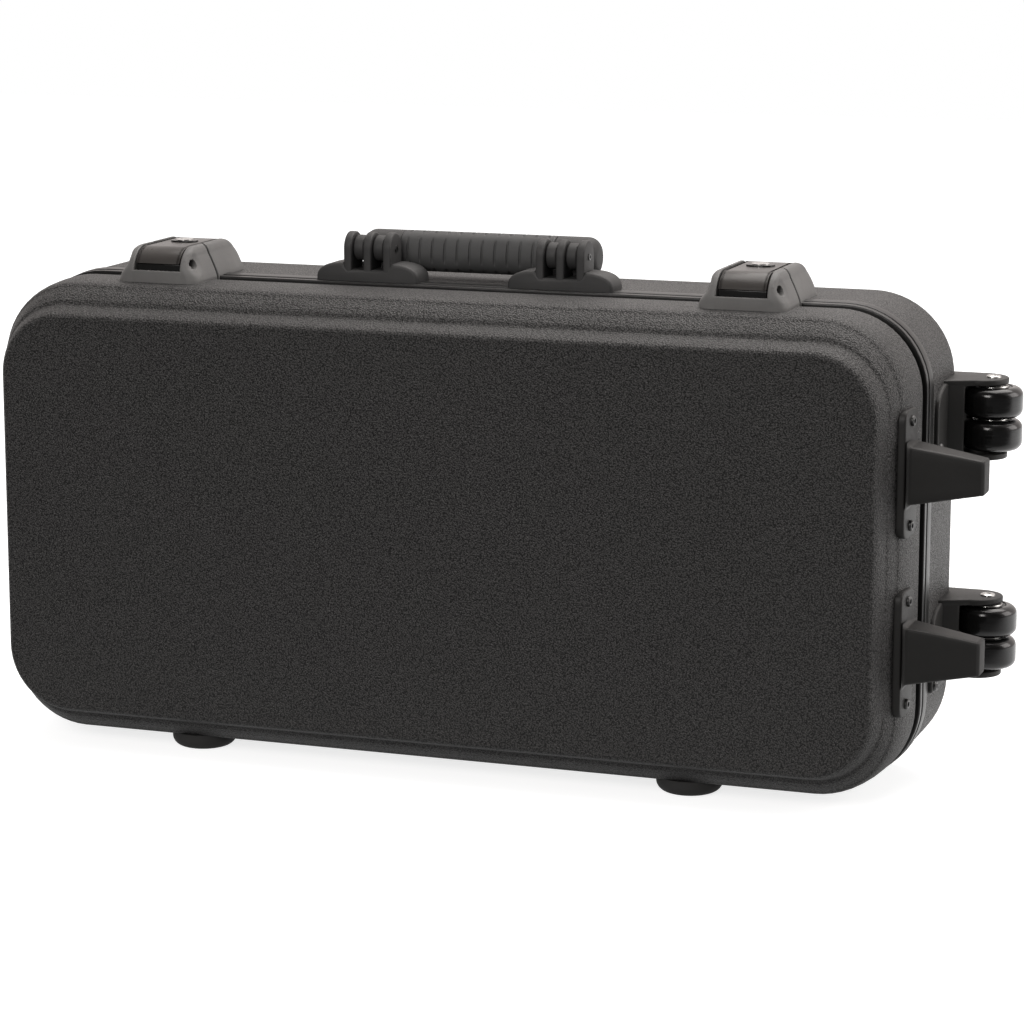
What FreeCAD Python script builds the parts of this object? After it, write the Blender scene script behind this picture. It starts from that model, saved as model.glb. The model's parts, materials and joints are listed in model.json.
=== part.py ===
import FreeCAD, Part
import math
import os

V = FreeCAD.Vector

# Case, in millimetres: X along the length, Y from the seam to the back, Z up from the shell's underside
case_length = 700.0
case_height = 345.0
corner_radius = 60.0
shell_wall = 4.0
lid_depth = 80.0
base_depth = 106.0
seam_gap = 3.0
base_proud = 1.0
rear_edge_radius = 16.0
lid_face_inset_long = 24.0
lid_face_inset_short = 17.0
lid_face_radius = 46.0

# Lid wall from the rim to the raised face: depth, inset on the long sides, inset on the short sides
lid_profile_shares = [
    (0.600, 0.083, 0.247),
    (0.638, 0.125, 0.294),
    (0.650, 0.188, 0.365),
    (0.725, 0.375, 0.470),
    (0.775, 0.583, 0.560),
    (0.800, 0.708, 0.606),
    (0.900, 0.750, 0.706),
    (0.963, 0.833, 0.824),
    (1.000, 1.000, 1.000),
]
# Inside of the lid wall, from the straight rim to the floor
lid_inside_shares = [
    (0.200, 0.000, 0.000),
    (0.600, 0.083, 0.247),
    (0.780, 0.708, 0.606),
]

# Seam frame
strip_front_proud = 1.0
strip_rear_proud = 2.0
strip_front_width = 7.5
strip_groove_width = 1.0
strip_rear_width = 12.0
valance_inset = 12.0
valance_leg = 14.0
lid_valance_depth = 14.5
tongue_length = 4.5
tongue_inset = 5.0
tongue_width = 2.2
tongue_clear = 0.6
seal_thick = 2.0
seal_clear = 0.1
groove_reserve = 1.0

# Linings
liner_wall = 8.0
liner_floor = 10.0
liner_clear = 0.4

# Feet
foot_radius = 24.5
foot_tip_radius = 16.5
foot_height = 9.5
foot_lip = 1.5
foot_inset = 157.0
foot_shift = 4.0
lid_foot_y = 28.0
base_foot_y = 62.0
foot_recess_radius = 5.0
foot_recess_depth = 4.0

# Fasteners and clearances
screw_shank_radius = 2.0
screw_head_radius = 3.8
screw_head_height = 2.2
screw_bite = 3.0
hole_clear = 0.05
seat_clear = 0.1
pin_clear = 0.02
run_clear = 0.05
side_clear = 0.6
overrun = 6.0

# Hinges
hinge_inset = 245.0
hinge_width = 60.0
hinge_leaf = 20.0
hinge_thick = 1.5
knuckle_radius = 3.0
knuckle_drop = 4.4
knuckle_gap = 0.4
hinge_pin_radius = 1.5
rivet_head_radius = 3.0
rivet_head_height = 1.2
rivet_pitch = 36.0

# Handle
bracket_inset = 17.0
bracket_length = 84.0
bracket_front = 8.5
bracket_depth = 25.0
lobe_length = 22.0
lobe_height = 12.5
lobe_foot = 1.0
bracket_edge = 2.5
fin_thick = 6.2
fin_slot = 9.4
slot_floor = 7.5
ear_radius = 12.0
pivot_y = 21.0
pivot_rise = 22.9
handle_pin_radius = 2.5
handle_pin_proud = 0.8
lug_radius = 9.6
lug_thick = 6.0
bar_y = 52.0
bar_rise = 18.4
bar_radius = 15.2
bar_half = 92.5
bar_end_round = 9.0
arm_half = 9.5
grip_core_radius = 11.5
grip_radius = 15.4
grip_inset = 32.0
grip_rib_count = 12
grip_groove_width = 1.6
grip_groove_depth = 1.0
grip_end_round = 1.5
socket_radius = 1.5
socket_depth = 1.6
lobe_screw_inset = 8.0
lobe_bore_radius = 2.6
lobe_bore_floor = 4.0
bracket_screw_radius = 1.5
bracket_screw_head = 2.4

# Latches
latch_inset = 124.5
latch_height = 25.4
latch_front = 38.0
latch_rear = 48.0
latch_split_front = 0.8
latch_split_rear = 1.8
nose_start = 5.0
cheek_base = 31.0
cheek_waist = 29.3
cheek_waist_rise = 9.2
cheek_foot = 1.5
cheek_corner = 9.0
cheek_shoulder = 25.6
cheek_shoulder_rise = 18.5
cheek_crown = 23.9
cheek_crown_rise = 22.9
cheek_top = 20.8
plinth_inset = 5.0
window_half = 18.3
sill_thick = 2.5
sill_rise = 8.2
housing_floor = 2.5
rear_flat = 34.0
rear_bend_y = 44.4
rear_bend_rise = 21.0
rear_wall_rise = 10.0
rear_channel = 45.0
rear_lip_rise = 15.0
pocket_y = 20.0
pocket_rise = 11.0
pocket_radius = 5.0
pocket_floor_radius = 2.6
pocket_depth = 6.0
lever_side_clear = 0.6
lever_recess = 0.6
lever_thick = 4.0
lever_edge_rise = 12.7
lever_side_wall = 3.0
lever_pin_y = 36.5
lever_pin_rise = 17.0
lever_pin_radius = 2.0
lever_pin_half = 24.0
lever_web_y = 20.0
trigger_pin_y = 27.0
trigger_pin_rise = 14.5
trigger_pin_radius = 1.2
trigger_barrel = 2.0
trigger_face_y = 34.2
trigger_thick = 3.2
trigger_low = 5.4
trigger_high = 12.1
trigger_arm_y = 28.9
trigger_arm_rise = 14.1
trigger_heel_y = 25.3
trigger_knee_y = 27.0
trigger_knee_rise = 11.0
trigger_back_rise = 9.0
spring_half = 3.7
spring_gap = 0.3
spring_radius = 1.9
keeper_half = 12.0
keeper_front = 33.0
keeper_back = 26.0
keeper_thick = 0.9
lock_y = 13.0
lock_radius = 6.5
lock_proud = 0.6
lock_body = 8.0
oval_half = 10.6
oval_radius = 8.0
oval_height = 1.2
key_slot_width = 1.3
key_slot_length = 7.0
key_slot_depth = 2.0
cam_length = 6.5
cam_width = 4.0
cam_thick = 2.5
latch_screw_x = 12.0
latch_screw_front_y = 15.0
latch_screw_rear_y = 8.0
latch_screw_radius = 1.6
latch_screw_head = 2.8
latch_screw_head_height = 1.4

# Wheels
wheel_rise = 80.7
wheel_lift = 4.7
wheel_y = 84.0
wheel_reach = 53.0
wheel_radius = 21.6
wheel_width = 22.2
wheel_gap = 1.6
tyre_round = 6.0
hub_radius = 13.5
hub_recess = 1.2
hub_cap_radius = 8.0
axle_radius = 3.0
axle_head_radius = 5.5
axle_head_height = 1.6
flange_thick = 4.0
flange_front = 28.0
flange_back = 97.0
flange_low = 34.5
flange_high = 27.5
flange_cut_y = 64.0
flange_cut_rise = 12.0
flange_bend_y = 36.5
flange_bend_rise = 22.0
fork_front = 55.0
fork_waist = 65.0
fork_back = 103.0
fork_half_height = 29.3
fork_plate = 4.4
fork_straight = 22.0
fork_nose = 42.4
fork_web = 9.0
fork_cheek = 2.5
fork_cheek_reach = 15.0
fork_screw_y = 35.0
fork_screw_rise = 16.5
fork_screw_low = 29.5

# Legs
leg_rise = 64.0
leg_plate_height = 91.0
leg_plate_front = 55.0
leg_plate_back = 27.0
leg_plate_thick = 4.0
leg_plate_round = 8.0
leg_reach = 53.0
leg_root_front = 54.0
leg_root_back = 24.0
leg_root_half = 21.0
leg_tip_front = 46.0
leg_tip_back = 28.0
leg_tip_half = 12.0
leg_tip_chamfer = 2.0
leg_screw_inset = 8.5
leg_screw_y = 41.0

# Lines that several pieces share
half_length = case_length / 2
half_height = case_height / 2
foot_x = half_length - foot_inset
hinge_x = half_length - hinge_inset
latch_x = half_length - latch_inset
bracket_x = bar_half - bracket_inset
grip_half = bar_half - grip_inset
lid_rim_y = -seam_gap / 2
base_front_y = seam_gap / 2
strip_step_y = base_front_y + strip_front_width
strip_rise_y = strip_step_y + strip_groove_width
base_rim_y = strip_rise_y + strip_rear_width
base_bend_y = base_depth - rear_edge_radius
rail_z = case_height + strip_rear_proud
frame_shift = V((strip_rear_proud - leg_reach) / 2, (lid_depth - base_depth) / 2, foot_height)


def write(name, *solids):
    """Move one node into the row frame and write it."""
    moved = [solid.copy() for solid in solids]
    for solid in moved:
        solid.translate(frame_shift)
    shape = moved[0] if len(moved) == 1 else Part.makeCompound(moved)
    shape.exportStep(os.path.join("parts", name + ".step"))


def on_x(x):
    """Plane across the length: an outline point is (y, z)."""
    return lambda u, v: V(x, u, v)


def on_y(y):
    """Plane across the depth: an outline point is (x, z)."""
    return lambda u, v: V(u, y, v)


def on_z(z):
    """Level plane: an outline point is (x, y)."""
    return lambda u, v: V(u, v, z)


def outline(place, start, steps):
    """Closed wire from a start point; a step of two numbers is a line, of four an arc through a point."""
    edges = []
    here = start
    for step in steps + [start]:
        there = step[-2:]
        if len(step) == 4:
            edges.append(Part.Arc(place(*here), place(*step[:2]), place(*there)).toShape())
        elif here != there:
            edges.append(Part.LineSegment(place(*here), place(*there)).toShape())
        here = there
    return Part.Wire(edges)


def prism(wire, way):
    """Solid swept from a closed wire along a vector."""
    return Part.Face(wire).extrude(way)


def block(x0, x1, y0, y1, z0, z1):
    """Box between two corners."""
    return Part.makeBox(x1 - x0, y1 - y0, z1 - z0, V(x0, y0, z0))


def rod(radius, start, end):
    """Cylinder between two points."""
    return Part.makeCylinder(radius, (end - start).Length, start, end - start)


def polar(y, z, radius, degrees):
    """Point at an angle from the front direction upwards, on a circle about (y, z)."""
    turn = math.radians(degrees)
    return (y - radius * math.cos(turn), z + radius * math.sin(turn))


def fuse(solids):
    """One solid from several that meet."""
    return solids[0].multiFuse(solids[1:]).removeSplitter().Solids[0]


def both_ways(solid):
    """A solid and its mirror image across the middle of the length."""
    return [solid, solid.mirror(V(0, 0, 0), V(1, 0, 0))]


def ring_wire(y, inset_long, inset_short, radius):
    """Rounded rectangle of the case outline, drawn in by the insets."""
    x = half_length - inset_short
    low = inset_long
    high = case_height - inset_long
    bend = radius * math.sqrt(0.5)
    return outline(
        on_y(y),
        (-x + radius, low),
        [
            (x - radius, low),
            (x - radius + bend, low + radius - bend, x, low + radius),
            (x, high - radius),
            (x - radius + bend, high - radius + bend, x - radius, high),
            (-x + radius, high),
            (-x + radius - bend, high - radius + bend, -x, high - radius),
            (-x, low + radius),
            (-x + radius - bend, low + radius - bend, -x + radius, low),
        ],
    )


def even_wire(y, inset):
    """Case outline drawn in by the same inset all round."""
    return ring_wire(y, inset, inset, corner_radius - inset)


def loft(wires):
    """Solid ruled through a row of wires."""
    return Part.makeLoft(wires, True, True)


def frame(y0, y1, outer, inner):
    """Straight rectangular frame between two insets."""
    return loft([even_wire(y0, outer), even_wire(y1, outer)]).cut(
        loft([even_wire(y0 - overrun, inner), even_wire(y1 + overrun, inner)])
    )


def lid_wire(depth, long_share, short_share, grow):
    """One section of the lid, with the insets grown by a wall."""
    long_inset = lid_face_inset_long * long_share + grow
    short_inset = lid_face_inset_short * short_share + grow
    radius = corner_radius - (corner_radius - lid_face_radius) * long_share - grow
    return ring_wire(-depth, long_inset, short_inset, radius)


def lid_outside():
    """Outer form of the lid from the rim to the raised face."""
    wires = [even_wire(lid_rim_y, 0)]
    wires += [lid_wire(lid_depth * d, along, across, 0) for d, along, across in lid_profile_shares]
    return loft(wires)


def lid_inside(start, grow, floor):
    """Inner form of the lid: straight rim, drafted walls and a flat floor."""
    wires = [even_wire(start, grow)]
    for d, along, across in lid_inside_shares:
        if lid_depth * d > -start:
            wires.append(lid_wire(lid_depth * d, along, across, grow))
    wires.append(lid_wire(lid_depth - floor, 1, 1, grow))
    return loft(wires)


def base_form(start, grow, back):
    """Form of the base from a start plane to the back, with a round rear edge."""
    run = base_bend_y - base_rim_y
    wires = []
    for y in (start, base_bend_y):
        wires.append(even_wire(y, grow - base_proud * (base_bend_y - y) / run))
    turns = 5
    round_in = rear_edge_radius - grow
    for k in range(1, turns + 1):
        turn = math.radians(90 * k / turns)
        y = base_bend_y + (base_depth - back - base_bend_y) * math.sin(turn)
        wires.append(even_wire(y, grow + round_in * (1 - math.cos(turn))))
    return loft(wires)


def screw(place, way, head_radius, head_height, shank_radius, length):
    """Pan-head screw: head outside a seat, shank into it; and the hole for its shank."""
    head = Part.makeCylinder(head_radius, head_height, place, way * -1)
    shank = Part.makeCylinder(shank_radius, length, place, way)
    hole = Part.makeCylinder(shank_radius + hole_clear, length + seat_clear, place, way)
    return head.fuse(shank).removeSplitter().Solids[0], hole


# Shells, before their screw holes
lid_body = lid_outside()
lid_seat = [lid_body, loft([even_wire(lid_rim_y, 0), even_wire(base_front_y, 0)])]
lid_shell = lid_body.cut(lid_inside(lid_rim_y + overrun, shell_wall, shell_wall))
base_body = base_form(base_rim_y, 0, 0)
base_shell = base_body.cut(base_form(base_rim_y - overrun, shell_wall, shell_wall))
lid_holes = []
base_holes = []

# Seam frame with its tongue, groove and seal
strip_runs = [
    (base_front_y, strip_step_y, -strip_front_proud),
    (strip_step_y, strip_rise_y, 0),
    (strip_rise_y, base_rim_y, -strip_rear_proud),
    (base_rim_y, base_rim_y + valance_leg, shell_wall),
]
strips = [frame(y0, y1, inset, valance_inset) for y0, y1, inset in strip_runs]
base_seat = [loft([even_wire(y0, inset), even_wire(y1, inset)]) for y0, y1, inset in strip_runs]
base_seat.append(base_body)
groove_floor_y = lid_rim_y + tongue_length + groove_reserve + seal_thick
tongue_inner = tongue_inset + tongue_width
base_valance = fuse(strips).cut(
    frame(base_front_y - overrun, groove_floor_y, tongue_inset - tongue_clear, tongue_inner + tongue_clear)
)
valance_seal = frame(
    groove_floor_y - seal_thick,
    groove_floor_y,
    tongue_inset - tongue_clear + seal_clear,
    tongue_inner + tongue_clear - seal_clear,
)
lid_valance = fuse(
    [
        frame(lid_rim_y - lid_valance_depth, lid_rim_y, shell_wall + seat_clear, valance_inset),
        frame(lid_rim_y - seal_thick, lid_rim_y + tongue_length, tongue_inset, tongue_inner),
    ]
)

# Foam linings
liner_grow = shell_wall + liner_clear
lid_liner_y = lid_rim_y - lid_valance_depth - liner_clear
lid_liner = lid_inside(lid_liner_y, liner_grow, liner_grow).cut(
    lid_inside(lid_liner_y + overrun, liner_grow + liner_wall, liner_grow + liner_floor)
)
base_liner_y = base_rim_y + valance_leg + liner_clear
base_liner = base_form(base_liner_y, liner_grow, liner_grow).cut(
    base_form(base_liner_y - overrun, liner_grow + liner_wall, liner_grow + liner_floor)
)


def foot(x, y, wall):
    """Rubber foot of revolution, seated on the underside, and its screw in the recess."""
    axis = V(x, y, 0)
    bend = math.sqrt(0.5)
    low = -foot_height
    profile = outline(
        lambda u, v: V(x + u, y, v),
        (0, overrun),
        [
            (foot_radius, overrun),
            (foot_radius, -foot_lip),
            (
                foot_tip_radius + (foot_radius - foot_tip_radius) * bend,
                -foot_lip + (low + foot_lip) * bend,
                foot_tip_radius,
                low,
            ),
            (0, low),
        ],
    )
    body = Part.Face(profile).revolve(axis, V(0, 0, 1), 360)
    recess_z = low + foot_recess_depth
    recess = Part.makeCylinder(foot_recess_radius, foot_recess_depth, V(x, y, low))
    shank, hole = screw(
        V(x, y, recess_z),
        V(0, 0, 1),
        screw_head_radius,
        screw_head_height,
        screw_shank_radius,
        -recess_z + screw_bite,
    )
    return body.cut(wall).cut(recess).cut(hole), shank, hole


lid_feet = []
lid_foot_screws = []
base_feet = []
base_foot_screws = []
for x in (-foot_x - foot_shift, foot_x - foot_shift):
    solid, shank, hole = foot(x, -lid_foot_y, lid_seat)
    lid_feet.append(solid)
    lid_foot_screws.append(shank)
    lid_holes.append(hole)
    solid, shank, hole = foot(x, base_foot_y, base_body)
    base_feet.append(solid)
    base_foot_screws.append(shank)
    base_holes.append(hole)

# Hinges on the bottom seam: the base leaf has the outer knuckles, the lid leaf the middle one
hinge_lid_rivets = []
hinge_base_rivets = []
hinge_pins = []
hinge_leaves = {}
knuckle_z = -knuckle_drop
third = hinge_width / 3


def rivet_up(place):
    """Rivet through a hinge leaf from below, and its hole."""
    length = hinge_thick + screw_bite
    return screw(place, V(0, 0, 1), rivet_head_radius, rivet_head_height, screw_shank_radius, length)


for side, x in (("left", -hinge_x), ("right", hinge_x)):
    x0 = x - hinge_width / 2
    x1 = x + hinge_width / 2
    bore = rod(hinge_pin_radius + run_clear, V(x0 - overrun, 0, knuckle_z), V(x1 + overrun, 0, knuckle_z))
    seat = rod(hinge_pin_radius + pin_clear, V(x0 - overrun, 0, knuckle_z), V(x1 + overrun, 0, knuckle_z))
    leaf_z = -strip_rear_proud
    arm_z = knuckle_z + knuckle_radius - hinge_thick
    base_leaf = [block(x0, x1, strip_rise_y, base_rim_y, leaf_z - hinge_thick, leaf_z)]
    for a, b in ((x0, x0 + third), (x1 - third, x1)):
        base_leaf.append(rod(knuckle_radius, V(a, 0, knuckle_z), V(b, 0, knuckle_z)))
        base_leaf.append(block(a, b, 0, strip_rise_y + hinge_thick, leaf_z - hinge_thick, leaf_z))
    a = x0 + third + knuckle_gap
    b = x1 - third - knuckle_gap
    lid_leaf = [
        rod(knuckle_radius, V(a, 0, knuckle_z), V(b, 0, knuckle_z)),
        block(a, b, lid_rim_y - hinge_thick, 0, arm_z, arm_z + hinge_thick),
        block(a, b, lid_rim_y - hinge_leaf, lid_rim_y - hinge_thick, arm_z, 0),
        block(x0, x1, lid_rim_y - hinge_leaf, lid_rim_y - knuckle_radius, -hinge_thick, overrun),
    ]
    base_solid = fuse(base_leaf).cut(seat)
    lid_solid = fuse(lid_leaf).cut(bore).cut(lid_seat)
    for dx in (-rivet_pitch / 2, rivet_pitch / 2):
        rivet, hole = rivet_up(V(x + dx, lid_rim_y - hinge_leaf / 2, -hinge_thick))
        hinge_lid_rivets.append(rivet)
        lid_solid = lid_solid.cut(hole)
        lid_holes.append(hole)
        rivet, hole = rivet_up(V(x + dx, (strip_rise_y + base_rim_y) / 2, leaf_z - hinge_thick))
        hinge_base_rivets.append(rivet)
        base_solid = base_solid.cut(hole)
        base_valance = base_valance.cut(hole)
    hinge_leaves[side + "_hinge_lid_leaf"] = lid_solid
    hinge_leaves[side + "_hinge_base_leaf"] = base_solid
    hinge_pins.append(rod(hinge_pin_radius, V(x0, 0, knuckle_z), V(x1, 0, knuckle_z)))

# Handle brackets with three fins, and the folding core with a lug in each slot
pivot_z = rail_z + pivot_rise
bar_z = rail_z + bar_rise
fin_group = 3 * fin_thick + 2 * fin_slot
slot_places = [-(fin_thick + fin_slot) / 2, (fin_thick + fin_slot) / 2]


def lobe_outline(y, reach, rise):
    """Front view of a bracket base: flat top with a round lobe at each end."""
    bend = math.sqrt(0.5)
    foot_z = rail_z + lobe_foot
    top = foot_z + rise
    dip = foot_z - lobe_foot - overrun
    return outline(
        on_y(y),
        (bracket_x - reach, dip),
        [
            (bracket_x - reach, foot_z),
            (
                bracket_x - reach + lobe_length * (1 - bend),
                foot_z + rise * bend,
                bracket_x - reach + lobe_length,
                top,
            ),
            (bracket_x + reach - lobe_length, top),
            (
                bracket_x + reach - lobe_length * (1 - bend),
                foot_z + rise * bend,
                bracket_x + reach,
                foot_z,
            ),
            (bracket_x + reach, dip),
        ],
    )


def handle_bracket():
    """Bracket on the +X side, its two screws and their holes."""
    reach = bracket_length / 2
    rise = lobe_height - lobe_foot
    back = bracket_front + bracket_depth
    base = loft(
        [
            lobe_outline(bracket_front, reach - bracket_edge, rise - bracket_edge),
            lobe_outline(bracket_front + bracket_edge, reach, rise),
            lobe_outline(back - bracket_edge, reach, rise),
            lobe_outline(back, reach - bracket_edge, rise - bracket_edge),
        ]
    )
    ear = prism(
        outline(
            on_x(bracket_x - fin_group / 2),
            (pivot_y - ear_radius, rail_z),
            [
                (pivot_y - ear_radius, pivot_z),
                (pivot_y, pivot_z + ear_radius, pivot_y + ear_radius, pivot_z),
                (pivot_y + ear_radius, rail_z),
            ],
        ),
        V(fin_group, 0, 0),
    )
    body = fuse([base, ear])
    for dx in slot_places:
        x0 = bracket_x + dx - fin_slot / 2
        body = body.cut(
            block(x0, x0 + fin_slot, 0, back + overrun, rail_z + slot_floor, pivot_z + ear_radius + overrun)
        )
    pin_from = V(bracket_x - fin_group / 2 - handle_pin_proud, pivot_y, pivot_z)
    pin_to = V(bracket_x + fin_group / 2 + handle_pin_proud, pivot_y, pivot_z)
    body = body.cut(rod(handle_pin_radius + pin_clear, pin_from, pin_to))
    body = body.cut(base_seat)
    screws = []
    holes = []
    for x in (bracket_x - reach + lobe_screw_inset, bracket_x + reach - lobe_screw_inset):
        place = V(x, bracket_front + bracket_depth / 2, rail_z + lobe_bore_floor)
        shank, hole = screw(
            place,
            V(0, 0, -1),
            bracket_screw_head,
            screw_head_height,
            bracket_screw_radius,
            lobe_bore_floor + strip_rear_proud + screw_bite,
        )
        bore = Part.makeCylinder(lobe_bore_radius, lobe_height, place)
        body = body.cut(bore).cut(hole)
        screws.append(shank)
        holes.append(hole)
    pin = rod(handle_pin_radius, pin_from, pin_to)
    hexagon = [polar(pivot_y, pivot_z, socket_radius, 60 * k) for k in range(6)]
    for end, way in ((pin_from, 1), (pin_to, -1)):
        socket = prism(outline(on_x(end.x), hexagon[0], hexagon[1:]), V(way * socket_depth, 0, 0))
        pin = pin.cut(socket).Solids[0]
    return body.Solids[0], pin, screws, holes


def handle_arm(x):
    """Lug on the pivot with the arm that joins it to the bar."""
    low = pivot_z - lug_radius
    return prism(
        outline(
            on_x(x - lug_thick / 2),
            (pivot_y, low),
            [
                (pivot_y - lug_radius, pivot_z, pivot_y, pivot_z + lug_radius),
                (bar_y, bar_z + arm_half),
                (bar_y, bar_z - arm_half),
            ],
        ),
        V(lug_thick, 0, 0),
    )


def rounded_bar(half, radius, edge):
    """Bar along the length with round ends, as a solid of revolution."""
    bend = edge * (1 - math.sqrt(0.5))
    profile = outline(
        lambda u, v: V(u, bar_y, bar_z + v),
        (-half, 0),
        [
            (-half, radius - edge),
            (-half + bend, radius - bend, -half + edge, radius),
            (half - edge, radius),
            (half - bend, radius - bend, half, radius - edge),
            (half, 0),
        ],
    )
    return Part.Face(profile).revolve(V(0, bar_y, bar_z), V(1, 0, 0), 360)


bracket, handle_pin, bracket_screws, bracket_holes = handle_bracket()
left_right_brackets = both_ways(bracket)
handle_pins = both_ways(handle_pin)
handle_bracket_screws = []
for solid in bracket_screws:
    handle_bracket_screws += both_ways(solid)
for solid in bracket_holes:
    base_holes += both_ways(solid)
arms = []
for dx in slot_places:
    arms += both_ways(handle_arm(bracket_x + dx))
grip_from = V(-grip_half, bar_y, bar_z)
grip_to = V(grip_half, bar_y, bar_z)
neck = rod(bar_radius + overrun, grip_from, grip_to).cut(rod(grip_core_radius, grip_from, grip_to))
handle_core = fuse([rounded_bar(bar_half, bar_radius, bar_end_round)] + arms)
handle_core = handle_core.cut(neck)
for pin in handle_pins:
    middle = pin.CenterOfMass
    reach = V(fin_group / 2 + overrun, 0, 0)
    handle_core = handle_core.cut(rod(handle_pin_radius + run_clear, middle - reach, middle + reach))
handle_grip = rounded_bar(grip_half - seat_clear, grip_radius, grip_end_round).cut(
    rod(grip_core_radius + seat_clear, grip_from, grip_to)
)
rib_pitch = 2 * grip_half / (grip_rib_count + 1)
for k in range(1, grip_rib_count + 1):
    middle = V(-grip_half + k * rib_pitch, bar_y, bar_z)
    reach = V(grip_groove_width / 2, 0, 0)
    groove = rod(grip_radius + overrun, middle - reach, middle + reach)
    core = rod(grip_radius - grip_groove_depth, middle - reach, middle + reach)
    handle_grip = handle_grip.cut(groove.cut(core))

# Latch levels above the top edge of the shells
top_z = case_height
crown_z = top_z + latch_height
nose_radius = latch_height - nose_start
nose_y = -(latch_front - nose_radius)
nose_z = top_z + nose_start
lever_radius = nose_radius - lever_recess
lever_inner = lever_radius - lever_thick
lever_half = window_half - lever_side_clear
trigger_pin_half = lever_half - lever_side_wall / 2
lever_edge_z = top_z + lever_edge_rise
lever_pin_z = top_z + lever_pin_rise
trigger_pin_z = top_z + trigger_pin_rise
floor_z = top_z + housing_floor
lever_top_z = nose_z + lever_radius
barrel_radius = lever_top_z - lever_pin_z


def housing_front_view(y, depth):
    """Front view of a latch housing: cheeks that lean in and round shoulders."""
    waist_z = top_z + cheek_waist_rise
    shoulder_z = top_z + cheek_shoulder_rise
    bend_z = top_z + cheek_crown_rise
    right = [
        (cheek_base, top_z + cheek_foot),
        (cheek_waist, waist_z, cheek_shoulder, shoulder_z),
        (cheek_crown, bend_z, cheek_top, crown_z),
    ]
    left = [
        (-cheek_top, crown_z),
        (-cheek_crown, bend_z, -cheek_shoulder, shoulder_z),
        (-cheek_waist, waist_z, -cheek_base, top_z + cheek_foot),
        (-cheek_base, top_z - overrun),
    ]
    return prism(outline(on_y(y), (cheek_base, top_z - overrun), right + left), V(0, depth, 0))


def cross_pin(radius, half, y, z):
    """Pin along the length, centred on the latch."""
    return rod(radius, V(-half, y, z), V(half, y, z))


def latch_front_housing():
    """Housing on the lid: open window over a sill, conical screw pocket in each cheek, plinth below."""
    side = prism(
        outline(
            on_x(-cheek_base),
            (-latch_split_front, top_z + cheek_foot),
            [
                (-latch_front, top_z + cheek_foot),
                (-latch_front, nose_z),
                polar(nose_y, nose_z, nose_radius, 45) + (nose_y, crown_z),
                (-latch_split_front, crown_z),
            ],
        ),
        V(2 * cheek_base, 0, 0),
    )
    body = side.common(housing_front_view(-latch_front - overrun, latch_front + 2 * overrun))
    corner_x = cheek_base - cheek_corner
    corner_y = -latch_front + cheek_corner
    bend = cheek_corner * math.sqrt(0.5)
    plan = outline(
        on_z(top_z),
        (-cheek_base, 0),
        [
            (-cheek_base, corner_y),
            (-corner_x - bend, corner_y - bend, -corner_x, -latch_front),
            (corner_x, -latch_front),
            (corner_x + bend, corner_y - bend, cheek_base, corner_y),
            (cheek_base, 0),
        ],
    )
    body = body.common(prism(plan, V(0, 0, latch_height)))
    plinth_x = cheek_base - plinth_inset
    plinth_y = -latch_front + plinth_inset
    plinth = block(-plinth_x, plinth_x, plinth_y, -latch_split_front, top_z - overrun, floor_z)
    body = fuse([body, plinth])
    sill_y = -latch_front + sill_thick
    sill_z = top_z + sill_rise
    over_z = crown_z + overrun
    body = body.cut(block(-window_half, window_half, sill_y, overrun, floor_z, over_z))
    front_y = -latch_front - overrun
    body = body.cut(block(-window_half, window_half, front_y, sill_y + overrun, sill_z, over_z))
    for way in (-1, 1):
        mouth = V(way * (cheek_base + cheek_waist) / 2, -pocket_y, top_z + pocket_rise)
        body = body.cut(Part.makeCone(pocket_radius, pocket_floor_radius, pocket_depth, mouth, V(-way, 0, 0)))
    return body


def latch_rear_housing():
    """Housing on the base: open channel for the lever and a rounded back."""
    side = prism(
        outline(
            on_x(-cheek_base),
            (latch_split_rear, top_z - overrun),
            [
                (latch_split_rear, crown_z),
                (rear_flat, crown_z),
                (rear_bend_y, top_z + rear_bend_rise, latch_rear, top_z + rear_wall_rise),
                (latch_rear, top_z - overrun),
            ],
        ),
        V(2 * cheek_base, 0, 0),
    )
    body = side.common(housing_front_view(0, latch_rear + overrun))
    over_z = crown_z + overrun
    body = body.cut(block(-window_half, window_half, 0, rear_channel, floor_z + strip_rear_proud, over_z))
    back_y = latch_rear + overrun
    body = body.cut(block(-window_half, window_half, 0, back_y, top_z + rear_lip_rise, over_z))
    bore = cross_pin(lever_pin_radius + pin_clear, lever_pin_half + seat_clear, lever_pin_y, lever_pin_z)
    return body.cut(bore)


def lever_profile(x, edge_steps, width):
    """Side view of the lever: outer curve from its front edge over the crown to the barrel, then inside."""
    front = -math.sqrt(lever_radius**2 - (lever_edge_z - nose_z) ** 2) + nose_y
    steps = [
        polar(nose_y, nose_z, lever_radius, 60) + (nose_y, lever_top_z),
        (lever_pin_y, lever_top_z),
        (lever_pin_y + barrel_radius, lever_pin_z, lever_pin_y, lever_pin_z - barrel_radius),
        polar(lever_pin_y, lever_pin_z, barrel_radius, -45) + (lever_pin_y - barrel_radius, lever_pin_z),
    ]
    return prism(outline(on_x(x), (front, lever_edge_z), steps + edge_steps), V(width, 0, 0))


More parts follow.
